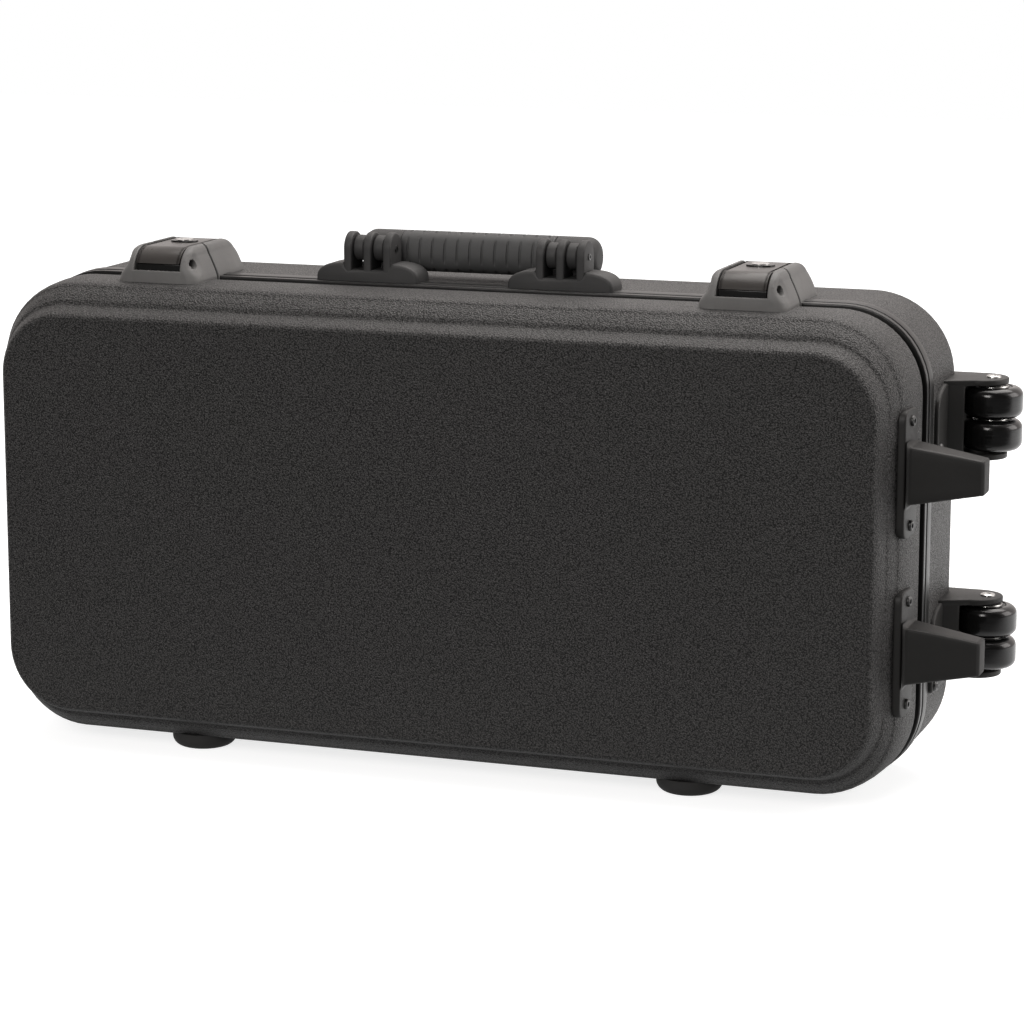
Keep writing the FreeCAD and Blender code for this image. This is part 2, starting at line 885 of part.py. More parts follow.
def latch_lever():
    """Hollow lever with side walls, lock boss and bores for its pins."""
    inner_z = nose_z + lever_inner
    inner_front = -math.sqrt(lever_inner**2 - (lever_edge_z - nose_z) ** 2) + nose_y
    inside = [
        (lever_web_y, inner_z),
        (nose_y, inner_z),
        polar(nose_y, nose_z, lever_inner, 60) + (inner_front, lever_edge_z),
    ]
    parts = [lever_profile(-lever_half, inside, 2 * lever_half)]
    for x in (-lever_half, lever_half - lever_side_wall):
        parts.append(lever_profile(x, [(lever_web_y, lever_edge_z)], lever_side_wall))
    oval = outline(
        on_z(lever_top_z - lever_thick / 2),
        (-oval_half + oval_radius, lock_y - oval_radius),
        [
            (oval_half - oval_radius, lock_y - oval_radius),
            (oval_half, lock_y, oval_half - oval_radius, lock_y + oval_radius),
            (-oval_half + oval_radius, lock_y + oval_radius),
            (-oval_half, lock_y, -oval_half + oval_radius, lock_y - oval_radius),
        ],
    )
    parts.append(prism(oval, V(0, 0, oval_height + lever_thick / 2)))
    body = fuse(parts)
    body = body.cut(cross_pin(lever_pin_radius + run_clear, cheek_base, lever_pin_y, lever_pin_z))
    pin_hole = trigger_pin_radius + pin_clear
    body = body.cut(cross_pin(pin_hole, trigger_pin_half, -trigger_pin_y, trigger_pin_z))
    return body.cut(rod(lock_radius + run_clear, V(0, lock_y, top_z), V(0, lock_y, crown_z + overrun)))


def latch_trigger():
    """Press strip under the lever's front edge, hung on its pin."""
    strip_back = -trigger_face_y + trigger_thick
    low = top_z + trigger_low
    high = top_z + trigger_high
    plate = block(-lever_half, lever_half, -trigger_face_y, strip_back, low, high)
    inner_half = lever_half - lever_side_wall - side_clear
    arm = prism(
        outline(
            on_x(-inner_half),
            (-trigger_face_y, top_z + trigger_back_rise),
            [
                (-trigger_face_y, high),
                (strip_back, high),
                (-trigger_arm_y, top_z + trigger_arm_rise),
                (-trigger_heel_y, top_z + trigger_arm_rise),
                (-trigger_knee_y, top_z + trigger_knee_rise),
                (strip_back, top_z + trigger_back_rise),
            ],
        ),
        V(2 * inner_half, 0, 0),
    )
    barrel = cross_pin(trigger_barrel, inner_half, -trigger_pin_y, trigger_pin_z)
    body = fuse([plate, arm, barrel])
    notch = cross_pin(spring_radius + spring_gap, spring_half + spring_gap, -trigger_pin_y, trigger_pin_z)
    bore = cross_pin(trigger_pin_radius + run_clear, cheek_base, -trigger_pin_y, trigger_pin_z)
    return body.cut(notch).cut(bore)


def lock_cylinder():
    """Lock with a key slot in its face and a cam bar below."""
    face_z = lever_top_z + oval_height + lock_proud
    foot_z = face_z - lock_body
    body = rod(lock_radius, V(0, lock_y, foot_z), V(0, lock_y, face_z))
    cam_half = cam_width / 2
    cam = block(-cam_length, cam_length, lock_y - cam_half, lock_y + cam_half, foot_z - cam_thick, foot_z)
    slot = block(
        -key_slot_length / 2,
        key_slot_length / 2,
        lock_y - key_slot_width / 2,
        lock_y + key_slot_width / 2,
        face_z - key_slot_depth,
        face_z + overrun,
    )
    return fuse([body, cam]).cut(slot)


front_housing = latch_front_housing().cut(lid_seat)
rear_housing = latch_rear_housing().cut(base_seat)
latch_lid_screws = []
latch_base_screws = []
lid_latch_holes = []
down = V(0, 0, -1)
for x in (-latch_screw_x, latch_screw_x):
    place = V(x, -latch_screw_front_y, floor_z)
    length = housing_floor + screw_bite
    shank, hole = screw(place, down, latch_screw_head, latch_screw_head_height, latch_screw_radius, length)
    front_housing = front_housing.cut(hole)
    latch_lid_screws.append(shank)
    lid_latch_holes.append(hole)
    place = V(x, latch_screw_rear_y, floor_z + strip_rear_proud)
    length = housing_floor + strip_rear_proud + screw_bite
    shank, hole = screw(place, down, latch_screw_head, latch_screw_head_height, latch_screw_radius, length)
    rear_housing = rear_housing.cut(hole)
    latch_base_screws.append(shank)
    for way in (-1, 1):
        hole_there = hole.copy()
        hole_there.translate(V(way * latch_x, 0, 0))
        base_valance = base_valance.cut(hole_there)
keeper = block(-keeper_half, keeper_half, -keeper_front, -keeper_back, floor_z, floor_z + keeper_thick)
spring = cross_pin(spring_radius, spring_half, -trigger_pin_y, trigger_pin_z).cut(
    cross_pin(trigger_pin_radius + run_clear, cheek_base, -trigger_pin_y, trigger_pin_z)
)
latch_nodes = {
    "latch_front_housing": front_housing.Solids[0],
    "latch_rear_housing": rear_housing.Solids[0],
    "latch_lever": latch_lever().Solids[0],
    "latch_trigger": latch_trigger().Solids[0],
    "trigger_pin": cross_pin(trigger_pin_radius, trigger_pin_half, -trigger_pin_y, trigger_pin_z),
    "trigger_spring": spring,
    "latch_keeper": keeper,
    "lock_cylinder": lock_cylinder().Solids[0],
}
latch_groups = {
    "latch_lever_pins": [cross_pin(lever_pin_radius, lever_pin_half, lever_pin_y, lever_pin_z)],
    "latch_lid_screws": latch_lid_screws,
    "latch_base_screws": latch_base_screws,
}

# Wheel forks: flange on the end wall, web, two plates and the riveted axle
wheel_x = half_length + wheel_reach - wheel_radius


def wheel_bracket(z):
    """Fork for twin wheels on an upright axle, with its screws and their holes."""
    wall_x = half_length - rear_edge_radius
    face_x = half_length + flange_thick
    flange = prism(
        outline(
            on_x(wall_x),
            (flange_front, z - flange_low),
            [
                (flange_front, z + flange_cut_rise),
                (flange_bend_y, z + flange_bend_rise, flange_cut_y, z + flange_high),
                (flange_back, z + flange_high),
                (flange_back, z - flange_low),
            ],
        ),
        V(face_x - wall_x, 0, 0),
    )
    solids = [flange]
    for plate_z in (z - fork_half_height, z + fork_half_height - fork_plate):
        plate = outline(
            on_z(plate_z),
            (wall_x, fork_front),
            [
                (half_length, fork_front),
                (half_length + fork_straight, fork_waist),
                (half_length + fork_nose, wheel_y, half_length + fork_straight, fork_back),
                (wall_x, fork_back),
            ],
        )
        solids.append(prism(plate, V(0, 0, fork_plate)))
    low = z - fork_half_height
    high = z + fork_half_height
    solids.append(block(wall_x, half_length + fork_web, fork_front, fork_back, low, high))
    slope = (fork_waist - fork_front) / fork_straight
    cheek = outline(
        on_z(low),
        (wall_x, fork_front),
        [
            (half_length, fork_front),
            (half_length + fork_cheek_reach, fork_front + fork_cheek_reach * slope),
            (half_length + fork_cheek_reach, fork_front + fork_cheek_reach * slope + fork_cheek),
            (wall_x, fork_front + fork_cheek_reach * slope + fork_cheek),
        ],
    )
    solids.append(prism(cheek, V(0, 0, high - low)))
    solids.append(block(wall_x, half_length + fork_cheek_reach, fork_back - fork_cheek, fork_back, low, high))
    body = fuse(solids).cut(base_body)
    body = body.cut(rod(axle_radius + pin_clear, V(wheel_x, wheel_y, low), V(wheel_x, wheel_y, high)))
    screws = []
    holes = []
    places = [(fork_screw_y, z - fork_screw_rise), (fork_screw_y, z - fork_screw_low)]
    for y, screw_z in places:
        shank, hole = screw(
            V(face_x, y, screw_z),
            V(-1, 0, 0),
            screw_head_radius,
            screw_head_height,
            screw_shank_radius,
            flange_thick + screw_bite,
        )
        body = body.cut(hole)
        screws.append(shank)
        holes.append(hole)
    axle = fuse(
        [
            rod(axle_radius, V(wheel_x, wheel_y, low), V(wheel_x, wheel_y, high)),
            rod(axle_head_radius, V(wheel_x, wheel_y, low - axle_head_height), V(wheel_x, wheel_y, low)),
            rod(axle_head_radius, V(wheel_x, wheel_y, high), V(wheel_x, wheel_y, high + axle_head_height)),
        ]
    )
    return body.Solids[0], axle, screws, holes


def wheel_parts(z):
    """Tyre with round shoulders and its hub, turning on the upright axle."""
    low = z - wheel_width / 2
    high = z + wheel_width / 2
    bend = tyre_round * (1 - math.sqrt(0.5))
    centre = V(wheel_x, wheel_y, 0)

    def turned(start, steps):
        profile = outline(lambda u, v: V(wheel_x + u, wheel_y, v), start, steps)
        return Part.Face(profile).revolve(centre, V(0, 0, 1), 360)

    tyre = turned(
        (hub_radius + seat_clear, low),
        [
            (wheel_radius - tyre_round, low),
            (wheel_radius - bend, low + bend, wheel_radius, low + tyre_round),
            (wheel_radius, high - tyre_round),
            (wheel_radius - bend, high - bend, wheel_radius - tyre_round, high),
            (hub_radius + seat_clear, high),
        ],
    )
    bore = axle_radius + run_clear
    hub = turned(
        (bore, low),
        [
            (hub_cap_radius, low),
            (hub_cap_radius + hub_recess, low + hub_recess),
            (hub_radius, low + hub_recess),
            (hub_radius, high - hub_recess),
            (hub_cap_radius + hub_recess, high - hub_recess),
            (hub_cap_radius, high),
            (bore, high),
        ],
    )
    return tyre, hub


brackets = {}
wheel_axles = []
wheel_bracket_screws = []
wheels = {}
for level, side in (("upper", 1), ("lower", -1)):
    z = half_height + wheel_lift + side * wheel_rise
    body, axle, screws, holes = wheel_bracket(z)
    brackets[level + "_wheel_bracket"] = body
    wheel_axles.append(axle)
    wheel_bracket_screws += screws
    base_holes += holes
    for row, way in (("top", 1), ("bottom", -1)):
        tyre, hub = wheel_parts(z + way * (wheel_width + wheel_gap) / 2)
        wheels[level + "_" + row + "_tyre"] = tyre
        wheels[level + "_" + row + "_hub"] = hub


def stand_leg(z):
    """Stand-off leg with a screwed plate on the end wall of the lid."""
    wall_x = half_length - lid_face_inset_short
    plate_x = half_length + leg_plate_thick
    end_inset = lid_face_inset_short * lid_profile_shares[0][2]
    draft = end_inset / (lid_depth * lid_profile_shares[0][0])
    plate = prism(
        outline(
            on_z(z - leg_plate_height / 2),
            (wall_x, -leg_plate_front),
            [
                (plate_x - leg_plate_front * draft, -leg_plate_front),
                (plate_x - leg_plate_back * draft, -leg_plate_back),
                (wall_x, -leg_plate_back),
            ],
        ),
        V(0, 0, leg_plate_height),
    )
    bend = leg_plate_round * (1 - math.sqrt(0.5))
    y0 = -leg_plate_front
    y1 = -leg_plate_back
    z0 = z - leg_plate_height / 2
    z1 = z + leg_plate_height / 2
    corners = outline(
        on_x(wall_x),
        (y0 + leg_plate_round, z0),
        [
            (y1 - leg_plate_round, z0),
            (y1 - bend, z0 + bend, y1, z0 + leg_plate_round),
            (y1, z1 - leg_plate_round),
            (y1 - bend, z1 - bend, y1 - leg_plate_round, z1),
            (y0 + leg_plate_round, z1),
            (y0 + bend, z1 - bend, y0, z1 - leg_plate_round),
            (y0, z0 + leg_plate_round),
            (y0 + bend, z0 + bend, y0 + leg_plate_round, z0),
        ],
    )
    plate = plate.common(prism(corners, V(plate_x - wall_x, 0, 0)))
    sections = []
    tip_x = half_length + leg_reach
    for x, front, back, half in (
        (wall_x, leg_root_front, leg_root_back, leg_root_half),
        (half_length, leg_root_front, leg_root_back, leg_root_half),
        (tip_x - leg_tip_chamfer, leg_tip_front, leg_tip_back, leg_tip_half),
        (
            tip_x,
            leg_tip_front - leg_tip_chamfer,
            leg_tip_back + leg_tip_chamfer,
            leg_tip_half - leg_tip_chamfer,
        ),
    ):
        steps = [(-back, z - half), (-back, z + half), (-front, z + half)]
        sections.append(outline(on_x(x), (-front, z - half), steps))
    body = fuse([plate, loft(sections)]).cut(lid_seat)
    screws = []
    holes = []
    screw_rise = leg_plate_height / 2 - leg_screw_inset
    for dz in (-screw_rise, screw_rise):
        place = V(plate_x - leg_screw_y * draft, -leg_screw_y, z + dz)
        shank, hole = screw(
            place,
            V(-1, draft, 0).normalize(),
            screw_head_radius,
            screw_head_height,
            screw_shank_radius,
            leg_plate_thick + screw_bite,
        )
        body = body.cut(hole)
        screws.append(shank)
        holes.append(hole)
    return body.Solids[0], screws, holes


legs = {}
leg_screws = []
for level, z in (("upper", half_height + leg_rise), ("lower", half_height - leg_rise)):
    body, screws, holes = stand_leg(z)
    legs[level + "_leg"] = body
    leg_screws += screws
    lid_holes += holes

# Screw holes in the shells
for way in (-1, 1):
    for hole in lid_latch_holes:
        hole_there = hole.copy()
        hole_there.translate(V(way * latch_x, 0, 0))
        lid_holes.append(hole_there)
lid_shell = lid_shell.cut(lid_holes)
base_shell = base_shell.cut(base_holes)
base_valance = base_valance.cut(base_holes)

# Write one file for each node
os.makedirs("parts", exist_ok=True)
write("lid_shell", lid_shell.Solids[0])
write("base_shell", base_shell.Solids[0])
write("lid_valance", lid_valance)
write("base_valance", base_valance.Solids[0])
write("valance_seal", valance_seal)
write("lid_liner", lid_liner)
write("base_liner", base_liner)
write("lid_feet", *lid_feet)
write("base_feet", *base_feet)
write("lid_foot_screws", *lid_foot_screws)
write("base_foot_screws", *base_foot_screws)
for name, solid in hinge_leaves.items():
    write(name, solid)
write("hinge_pins", *hinge_pins)
write("hinge_lid_rivets", *hinge_lid_rivets)
write("hinge_base_rivets", *hinge_base_rivets)
write("right_handle_bracket", left_right_brackets[0])
write("left_handle_bracket", left_right_brackets[1])
write("handle_core", handle_core)
write("handle_grip", handle_grip)
write("handle_pins", *handle_pins)
write("handle_bracket_screws", *handle_bracket_screws)
for name, solid in latch_nodes.items():
    for side, way in (("left", -1), ("right", 1)):
        there = solid.copy()
        there.translate(V(way * latch_x, 0, 0))
        write(side + "_" + name, there)
for name, solids in latch_groups.items():
    group = []
    for way in (-1, 1):
        for solid in solids:
            there = solid.copy()
            there.translate(V(way * latch_x, 0, 0))
            group.append(there)
    write(name, *group)
for name, solid in brackets.items():
    write(name, solid)
write("wheel_axles", *wheel_axles)
write("wheel_bracket_screws", *wheel_bracket_screws)
for name, solid in wheels.items():
    write(name, solid)
for name, solid in legs.items():
    write(name, solid)
write("leg_screws", *leg_screws)
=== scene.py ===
"""Looks of a wheeled hard case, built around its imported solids.

Sizes are in millimetres on the case's own axes: X along the length from the middle, Y from the seam
towards the back, Z up from the underside of the shells.
"""

import json
import logging
import math
from collections.abc import Sequence
from dataclasses import dataclass, field
from enum import Enum

import bpy
import numpy as np
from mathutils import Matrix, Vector


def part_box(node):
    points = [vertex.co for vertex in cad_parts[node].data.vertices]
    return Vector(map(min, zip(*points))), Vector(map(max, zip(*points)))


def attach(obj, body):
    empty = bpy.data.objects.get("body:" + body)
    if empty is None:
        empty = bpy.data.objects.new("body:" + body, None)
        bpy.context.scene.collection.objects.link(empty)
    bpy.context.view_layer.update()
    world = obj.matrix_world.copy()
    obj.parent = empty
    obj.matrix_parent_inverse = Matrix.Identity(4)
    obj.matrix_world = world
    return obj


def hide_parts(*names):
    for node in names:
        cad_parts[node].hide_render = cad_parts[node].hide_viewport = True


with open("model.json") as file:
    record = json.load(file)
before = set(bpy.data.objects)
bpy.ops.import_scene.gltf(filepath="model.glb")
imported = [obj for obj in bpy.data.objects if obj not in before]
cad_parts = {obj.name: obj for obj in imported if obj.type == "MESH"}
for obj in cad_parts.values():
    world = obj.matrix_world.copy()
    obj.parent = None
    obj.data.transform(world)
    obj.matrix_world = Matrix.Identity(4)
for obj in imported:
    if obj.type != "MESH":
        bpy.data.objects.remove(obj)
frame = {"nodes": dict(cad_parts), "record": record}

LOG = logging.getLogger("case")
MM = 0.001
Array = np.ndarray
Object = bpy.types.Object
Socket = bpy.types.NodeSocket
Colour = tuple[float, float, float]
Point = tuple[float, float, float]

QUARTER = math.pi / 2


class Ends(Enum):
    """How the first and last rows of a grid are closed."""

    CAPPED = "capped"
    JOINED = "joined"


class Axis(Enum):
    """Direction that a drawn outline is carried along."""

    X = (1, 2, 0)
    Y = (0, 2, 1)
    Z = (0, 1, 2)


@dataclass(frozen=True)
class CaseAxes:
    """The case's own axes, placed in the row frame.

    Attributes:
        origin: Row-frame point, in metres, of the length's middle, the seam and the underside.
    """

    origin: Point

    @classmethod
    def from_frame(cls, seam_gap: float) -> "CaseAxes":
        """Read the origin from the lid shell's box.

        Args:
            seam_gap: Gap between the rims of the two shells.

        Returns:
            Axes with their origin in the row frame.
        """
        low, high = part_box("lid_shell")
        return cls(((low.x + high.x) / 2, high.y + seam_gap / 2 * MM, low.z))

    def to_row(self, points: Array) -> Array:
        """Points in millimetres on the case's axes as metres in the row frame."""
        return np.asarray(self.origin) + np.asarray(points) * MM

    def from_row(self, point: Sequence[float]) -> Array:
        """A point in metres in the row frame as millimetres on the case's axes."""
        return (np.asarray(point) - np.asarray(self.origin)) / MM


AXES = CaseAxes.from_frame(seam_gap=3.0)


@dataclass
class Skin:
    """Vertices and faces of one piece while it is put together."""

    points: list[Array] = field(default_factory=list)
    faces: list[list[int]] = field(default_factory=list)
    count: int = 0

    def add_grid(self, grid: Array, ends: Ends = Ends.CAPPED) -> "Skin":
        """Add a closed surface from rows of points; each row is a closed ring.

        Args:
            grid: Array of rows, columns and three coordinates.
            ends: Cap the first and last rows with a face, or join the last row to the first.

        Returns:
            This skin.
        """
        rows, columns, _ = grid.shape
        index = np.arange(rows * columns).reshape(rows, columns)
        if ends is Ends.JOINED:
            index = np.vstack([index, index[:1]])
        right = np.roll(index, -1, axis=1)
        quads = np.stack([index[:-1], right[:-1], right[1:], index[1:]], axis=-1).reshape(-1, 4)
        faces = quads.tolist()
        if ends is Ends.CAPPED:
            faces += [index[0, ::-1].tolist(), index[-1].tolist()]
        flat = grid.reshape(-1, 3)
        if self.signed_volume(flat, faces) < 0:
            faces = [face[::-1] for face in faces]
        self.faces += [[corner + self.count for corner in face] for face in faces]
        self.points.append(flat)
        self.count += len(flat)
        return self

    @staticmethod
    def signed_volume(points: Array, faces: list[list[int]]) -> float:
        """Volume inside a closed surface: each face fanned to its first corner, as signed tetrahedra."""
        fans = [(face[0], face[k], face[k + 1]) for face in faces for k in range(1, len(face) - 1)]
        a, b, c = (points[[fan[k] for fan in fans]] - points.mean(axis=0) for k in range(3))
        return float(np.einsum("ij,ij->i", a, np.cross(b, c)).sum() / 6)

    def to_object(self, name: str, sharp_degrees: float = 38.0) -> Object:
        """Make the piece's object, with smooth faces and sharp edges past an angle.

        Args:
            name: Name of the piece.
            sharp_degrees: Edges that turn by more than this stay sharp.

        Returns:
            Object at the origin, with its place in its mesh.
        """
        mesh = bpy.data.meshes.new(name)
        mesh.from_pydata(AXES.to_row(np.concatenate(self.points)).tolist(), [], self.faces)
        mesh.shade_smooth()
        mesh.set_sharp_from_angle(angle=math.radians(sharp_degrees))
        mesh.validate()
        piece = bpy.data.objects.new(name, mesh)
        bpy.context.scene.collection.objects.link(piece)
        return piece


def ring_shares(corner_steps: int, side_steps: int, weights: Sequence[float] = (1, 1, 1, 1)) -> Array:
    """Shares for the points round a rounded rectangle.

    A point is its first two shares of the half sides plus its last two of the corner radius: a corner
    keeps its signs and turns from them through a quarter circle, a side runs straight between two corners.

    Args:
        corner_steps: Steps in each corner.
        side_steps: Steps in each straight side.
        weights: Share of the radius that each corner takes.

    Returns:
        Array of points and four shares.
    """
    quarter = np.linspace(0, QUARTER, corner_steps + 1)
    turn = quarter + np.arange(4)[:, None] * QUARTER
    signs = np.repeat(np.array([(1, 1), (-1, 1), (-1, -1), (1, -1)])[:, None, :], corner_steps + 1, axis=1)
    bend = np.stack([np.cos(turn), np.sin(turn)], axis=-1) - signs
    arcs = np.concatenate([signs, bend * np.asarray(weights)[:, None, None]], axis=-1)
    way = (np.arange(1, side_steps) / side_steps)[None, :, None]
    sides = arcs[:, -1:] * (1 - way) + np.roll(arcs[:, :1], -1, axis=0) * way
    return np.concatenate([arcs, sides], axis=1).reshape(-1, 4)


def ring_rows(half_u: Array, half_v: Array, radius: Array, shares: Array) -> tuple[Array, Array]:
    """Rows of rounded rectangles about zero.

    Args:
        half_u: Half length of each row.
        half_v: Half height of each row.
        radius: Corner radius of each row.
        shares: Shares from ring_shares.

    Returns:
        The two coordinates, each as rows and columns.
    """
    u = np.outer(half_u, shares[:, 0]) + np.outer(radius, shares[:, 2])
    v = np.outer(half_v, shares[:, 1]) + np.outer(radius, shares[:, 3])
    return u, v


def soft_outline(corners: Sequence[tuple[float, float]], radius: float, steps: int = 4) -> Array:
    """Closed outline with each corner rounded by a parabola.

    Each corner is left at the radius before it and met again at the radius after it, or at less than
    half of a short side; between, the curve is the quadratic blend of the two ends and the corner.

    Args:
        corners: Corner points in order.
        radius: Distance from a corner at which it starts to round.
        steps: Steps in each rounded corner.

    Returns:
        Array of points and two coordinates.
    """
    at = np.asarray(corners, float)
    before = np.roll(at, 1, axis=0) - at
    after = np.roll(at, -1, axis=0) - at
    reach_before = np.minimum(radius / np.linalg.norm(before, axis=1), 0.46)[:, None]
    reach_after = np.minimum(radius / np.linalg.norm(after, axis=1), 0.46)[:, None]
    start = (at + before * reach_before)[:, None]
    end = (at + after * reach_after)[:, None]
    t = np.linspace(0, 1, steps + 1)[None, :, None]
    return ((1 - t) ** 2 * start + 2 * t * (1 - t) * at[:, None] + t**2 * end).reshape(-1, 2)


def soft_profile(points: Sequence[tuple[float, ...]], blur: float, spacing: float = 0.5) -> Array:
    """Open profile through a table of points, rounded by averaging over a short stretch.

    The table is walked at an even spacing, and each point becomes the mean of its neighbours, weighted
    by a bell curve; both ends are held.

    Args:
        points: Points of any number of coordinates.
        blur: Width of the bell curve.
        spacing: Distance between points along the profile.

    Returns:
        Array of points and coordinates.
    """
    table = np.asarray(points, float)
    walk = np.concatenate([[0], np.cumsum(np.linalg.norm(np.diff(table, axis=0), axis=1))])
    at = np.linspace(0, walk[-1], max(2, int(walk[-1] / spacing) + 1))
    even = np.stack([np.interp(at, walk, column) for column in table.T], axis=-1)
    reach = max(1, int(3 * blur / spacing))
    bell = np.exp(-0.5 * (np.arange(-reach, reach + 1) * spacing / blur) ** 2)
    first = 2 * even[:1] - even[reach:0:-1]
    last = 2 * even[-1:] - even[-2 : -reach - 2 : -1]
    padded = np.concatenate([first, even, last])
    smooth = [np.convolve(column, bell / bell.sum(), mode="valid") for column in padded.T]
    return np.stack(smooth, axis=-1)


def offset_outline(outline: Array, inset: float) -> Array:
    """Closed outline moved inwards along the mean of the normals of its two sides at each point."""
    side = np.roll(outline, -1, axis=0) - outline
    side = side / np.maximum(np.linalg.norm(side, axis=1, keepdims=True), 1e-9)
    normal = np.stack([-side[:, 1], side[:, 0]], axis=-1)
    area = np.sum(outline[:, 0] * np.roll(outline[:, 1], -1) - outline[:, 1] * np.roll(outline[:, 0], -1))
    mitre = normal + np.roll(normal, 1, axis=0)
    mitre = mitre / np.maximum(np.sum(mitre * normal, axis=1, keepdims=True), 0.35)
    return outline + mitre * inset * np.sign(area)


def soft_prism(outline: Array, axis: Axis, start: float, end: float, edge: float, steps: int = 3) -> Array:
    """Outline carried along an axis, with both ends rounded over.

    Along the first edge length the outline grows from its inset to its full size on a quarter circle,
    then runs straight, and shrinks the same way at the far end.

    Args:
        outline: Closed outline in the plane across the axis.
        axis: Axis to carry it along.
        start: Where it starts on the axis.
        end: Where it ends.
        edge: Radius of the rounded ends.
        steps: Steps in each rounded end.

    Returns:
        Grid of rows, columns and three coordinates.
    """
    turn = np.linspace(0, QUARTER, steps + 1)
    inset = edge * (1 - np.sin(turn))
    along = edge * (1 - np.cos(turn))
    insets = np.concatenate([inset, inset[::-1]])
    places = np.concatenate([start + along, end - along[::-1]])
    grid = np.empty((len(insets), len(outline), 3))
    first, second, third = axis.value
    grid[:, :, [first, second]] = np.stack([offset_outline(outline, value) for value in insets])
    grid[:, :, third] = places[:, None]
    return grid


def turned(
    profile: Array,
    centre: Point,
    way: Point = (0, 0, 1),
    steps: int = 48,
    flats: Array | None = None,
) -> Array:
    """Surface of revolution: a profile of radius and height swung about a direction.

    A row with a share of flats has its circle drawn in towards a hexagon by that share.

    Args:
        profile: Points of radius and height.
        centre: Point on the axis where the height is zero.
        way: Direction of the axis.
        steps: Steps round the axis.
        flats: Share of the hexagon in each row.

    Returns:
        Grid of rows, columns and three coordinates.
    """
    along = np.asarray(way, float)
    side = np.cross(along, (0.0, 1.0, 0.0) if abs(along[1]) < 0.9 else (1.0, 0.0, 0.0))
    side = side / np.linalg.norm(side)
    turn = np.arange(steps) * 2 * math.pi / steps
    ring = np.outer(np.cos(turn), side) + np.outer(np.sin(turn), np.cross(along, side))
    radius = np.repeat(profile[:, :1], steps, axis=1)
    if flats is not None:
        hexagon = math.cos(math.pi / 6) / np.cos(np.mod(turn, math.pi / 3) - math.pi / 6)
        radius = radius * (1 + np.outer(flats, hexagon - 1))
    return np.asarray(centre) + radius[:, :, None] * ring + profile[:, 1, None, None] * along


def arc(centre: tuple[float, float], radii: tuple[float, float], turn: Array) -> Array:
    """Points of an ellipse: each coordinate is its centre plus its radius by the cosine or the sine."""
    return np.asarray(centre) + np.stack([np.cos(turn), np.sin(turn)], axis=-1) * np.asarray(radii)


def both_ends(half: Array) -> Array:
    """A profile of radius and height, and then its mirror image across zero height."""
    return np.concatenate([half, half[::-1] * np.array([1, -1])])


def spread(x: Array, y: Array, z: Array) -> Array:
    """Grid from three coordinates, each spread over the rows and columns of the others."""
    return np.stack(np.broadcast_arrays(x, y, z), axis=-1)


def mirror_x(grid: Array) -> Array:
    """The same grid on the other side of the middle of the length."""
    return grid * np.array([-1, 1, 1])


@dataclass
class Nodes:
    """A node tree, with short calls that add and join its nodes."""

    tree: bpy.types.NodeTree

    def node(self, kind: str, links: dict | None = None, **values: object) -> bpy.types.Node:
        """Add a node.

        Args:
            kind: Node type, without its prefix.
            links: Input names or numbers with the sockets or values they take.
            values: Properties of the node.

        Returns:
            The node.
        """
        made = self.tree.nodes.new("ShaderNode" + kind)
        for key, value in values.items():
            setattr(made, key, value)
        for key, value in (links or {}).items():
            self.feed(made.inputs[key], value)
        return made

    def feed(self, socket: Socket, value: object) -> None:
        """Link a socket to another, or set its value."""
        if isinstance(value, Socket):
            self.tree.links.new(value, socket)
        else:
            socket.default_value = value

    def ramp(self, value: Socket, source: tuple, target: tuple) -> Socket:
        """Value carried from one range to another, held at the ends."""
        links = {0: value, 1: source[0], 2: source[1], 3: target[0], 4: target[1]}
        return self.node("MapRange", links).outputs["Result"]

    def sum(self, first: Socket, second: object, operation: str = "ADD") -> Socket:
        """Two values through one operation."""
        return self.node("Math", {0: first, 1: second}, operation=operation).outputs["Value"]


class Sheet(Nodes):
    """Node tree of one material."""

    def __init__(self, name: str) -> None:
        """Start a material with its surface shader and object coordinates."""
        self.material = bpy.data.materials.new(name)
        self.material.use_nodes = True
        super().__init__(self.material.node_tree)
        self.shader = self.tree.nodes["Principled BSDF"]
        self.place = self.tree.nodes.new("ShaderNodeTexCoord").outputs["Object"]

    def noise(self, scale: float, detail: float = 2.0, rough: float = 0.5) -> Socket:
        """Noise of so many cells in a metre."""
        links = {"Vector": self.place, "Scale": scale, "Detail": detail, "Roughness": rough}
        return self.node("TexNoise", links).outputs["Fac"]

    def cells(self, scale: float) -> Socket:
        """Distance to the nearest of so many cell centres in a metre."""
        links = {"Vector": self.place, "Scale": scale}
        return self.node("TexVoronoi", links, feature="SMOOTH_F1").outputs["Distance"]

    def tint(self, share: Socket, dark: tuple, light: tuple) -> None:
        """Base colour between two, by a share."""
        links = {"Factor": share, 6: (*dark, 1), 7: (*light, 1)}
        mixed = self.node("Mix", links, data_type="RGBA").outputs[2]
        self.feed(self.shader.inputs["Base Color"], mixed)

    def bump(self, height: Socket, depth: float) -> None:
        """Relief of a depth in metres on the surface normal."""
        links = {"Height": height, "Distance": depth, "Strength": 1.0}
        self.feed(self.shader.inputs["Normal"], self.node("Bump", links).outputs["Normal"])

    def roughness(self, value: object) -> None:
        """Roughness as a number or a socket."""
        self.feed(self.shader.inputs["Roughness"], value)

    def fixed(self, **values: float) -> None:
        """Numbers set on the shader's own sockets, named with underscores for spaces."""
        for key, value in values.items():
            self.shader.inputs[key.replace("_", " ")].default_value = value


@dataclass(frozen=True)
class Finish:
    """What every finish has: a name and the two colours that it lies between."""

    name: str
    dark: Colour
    light: Colour


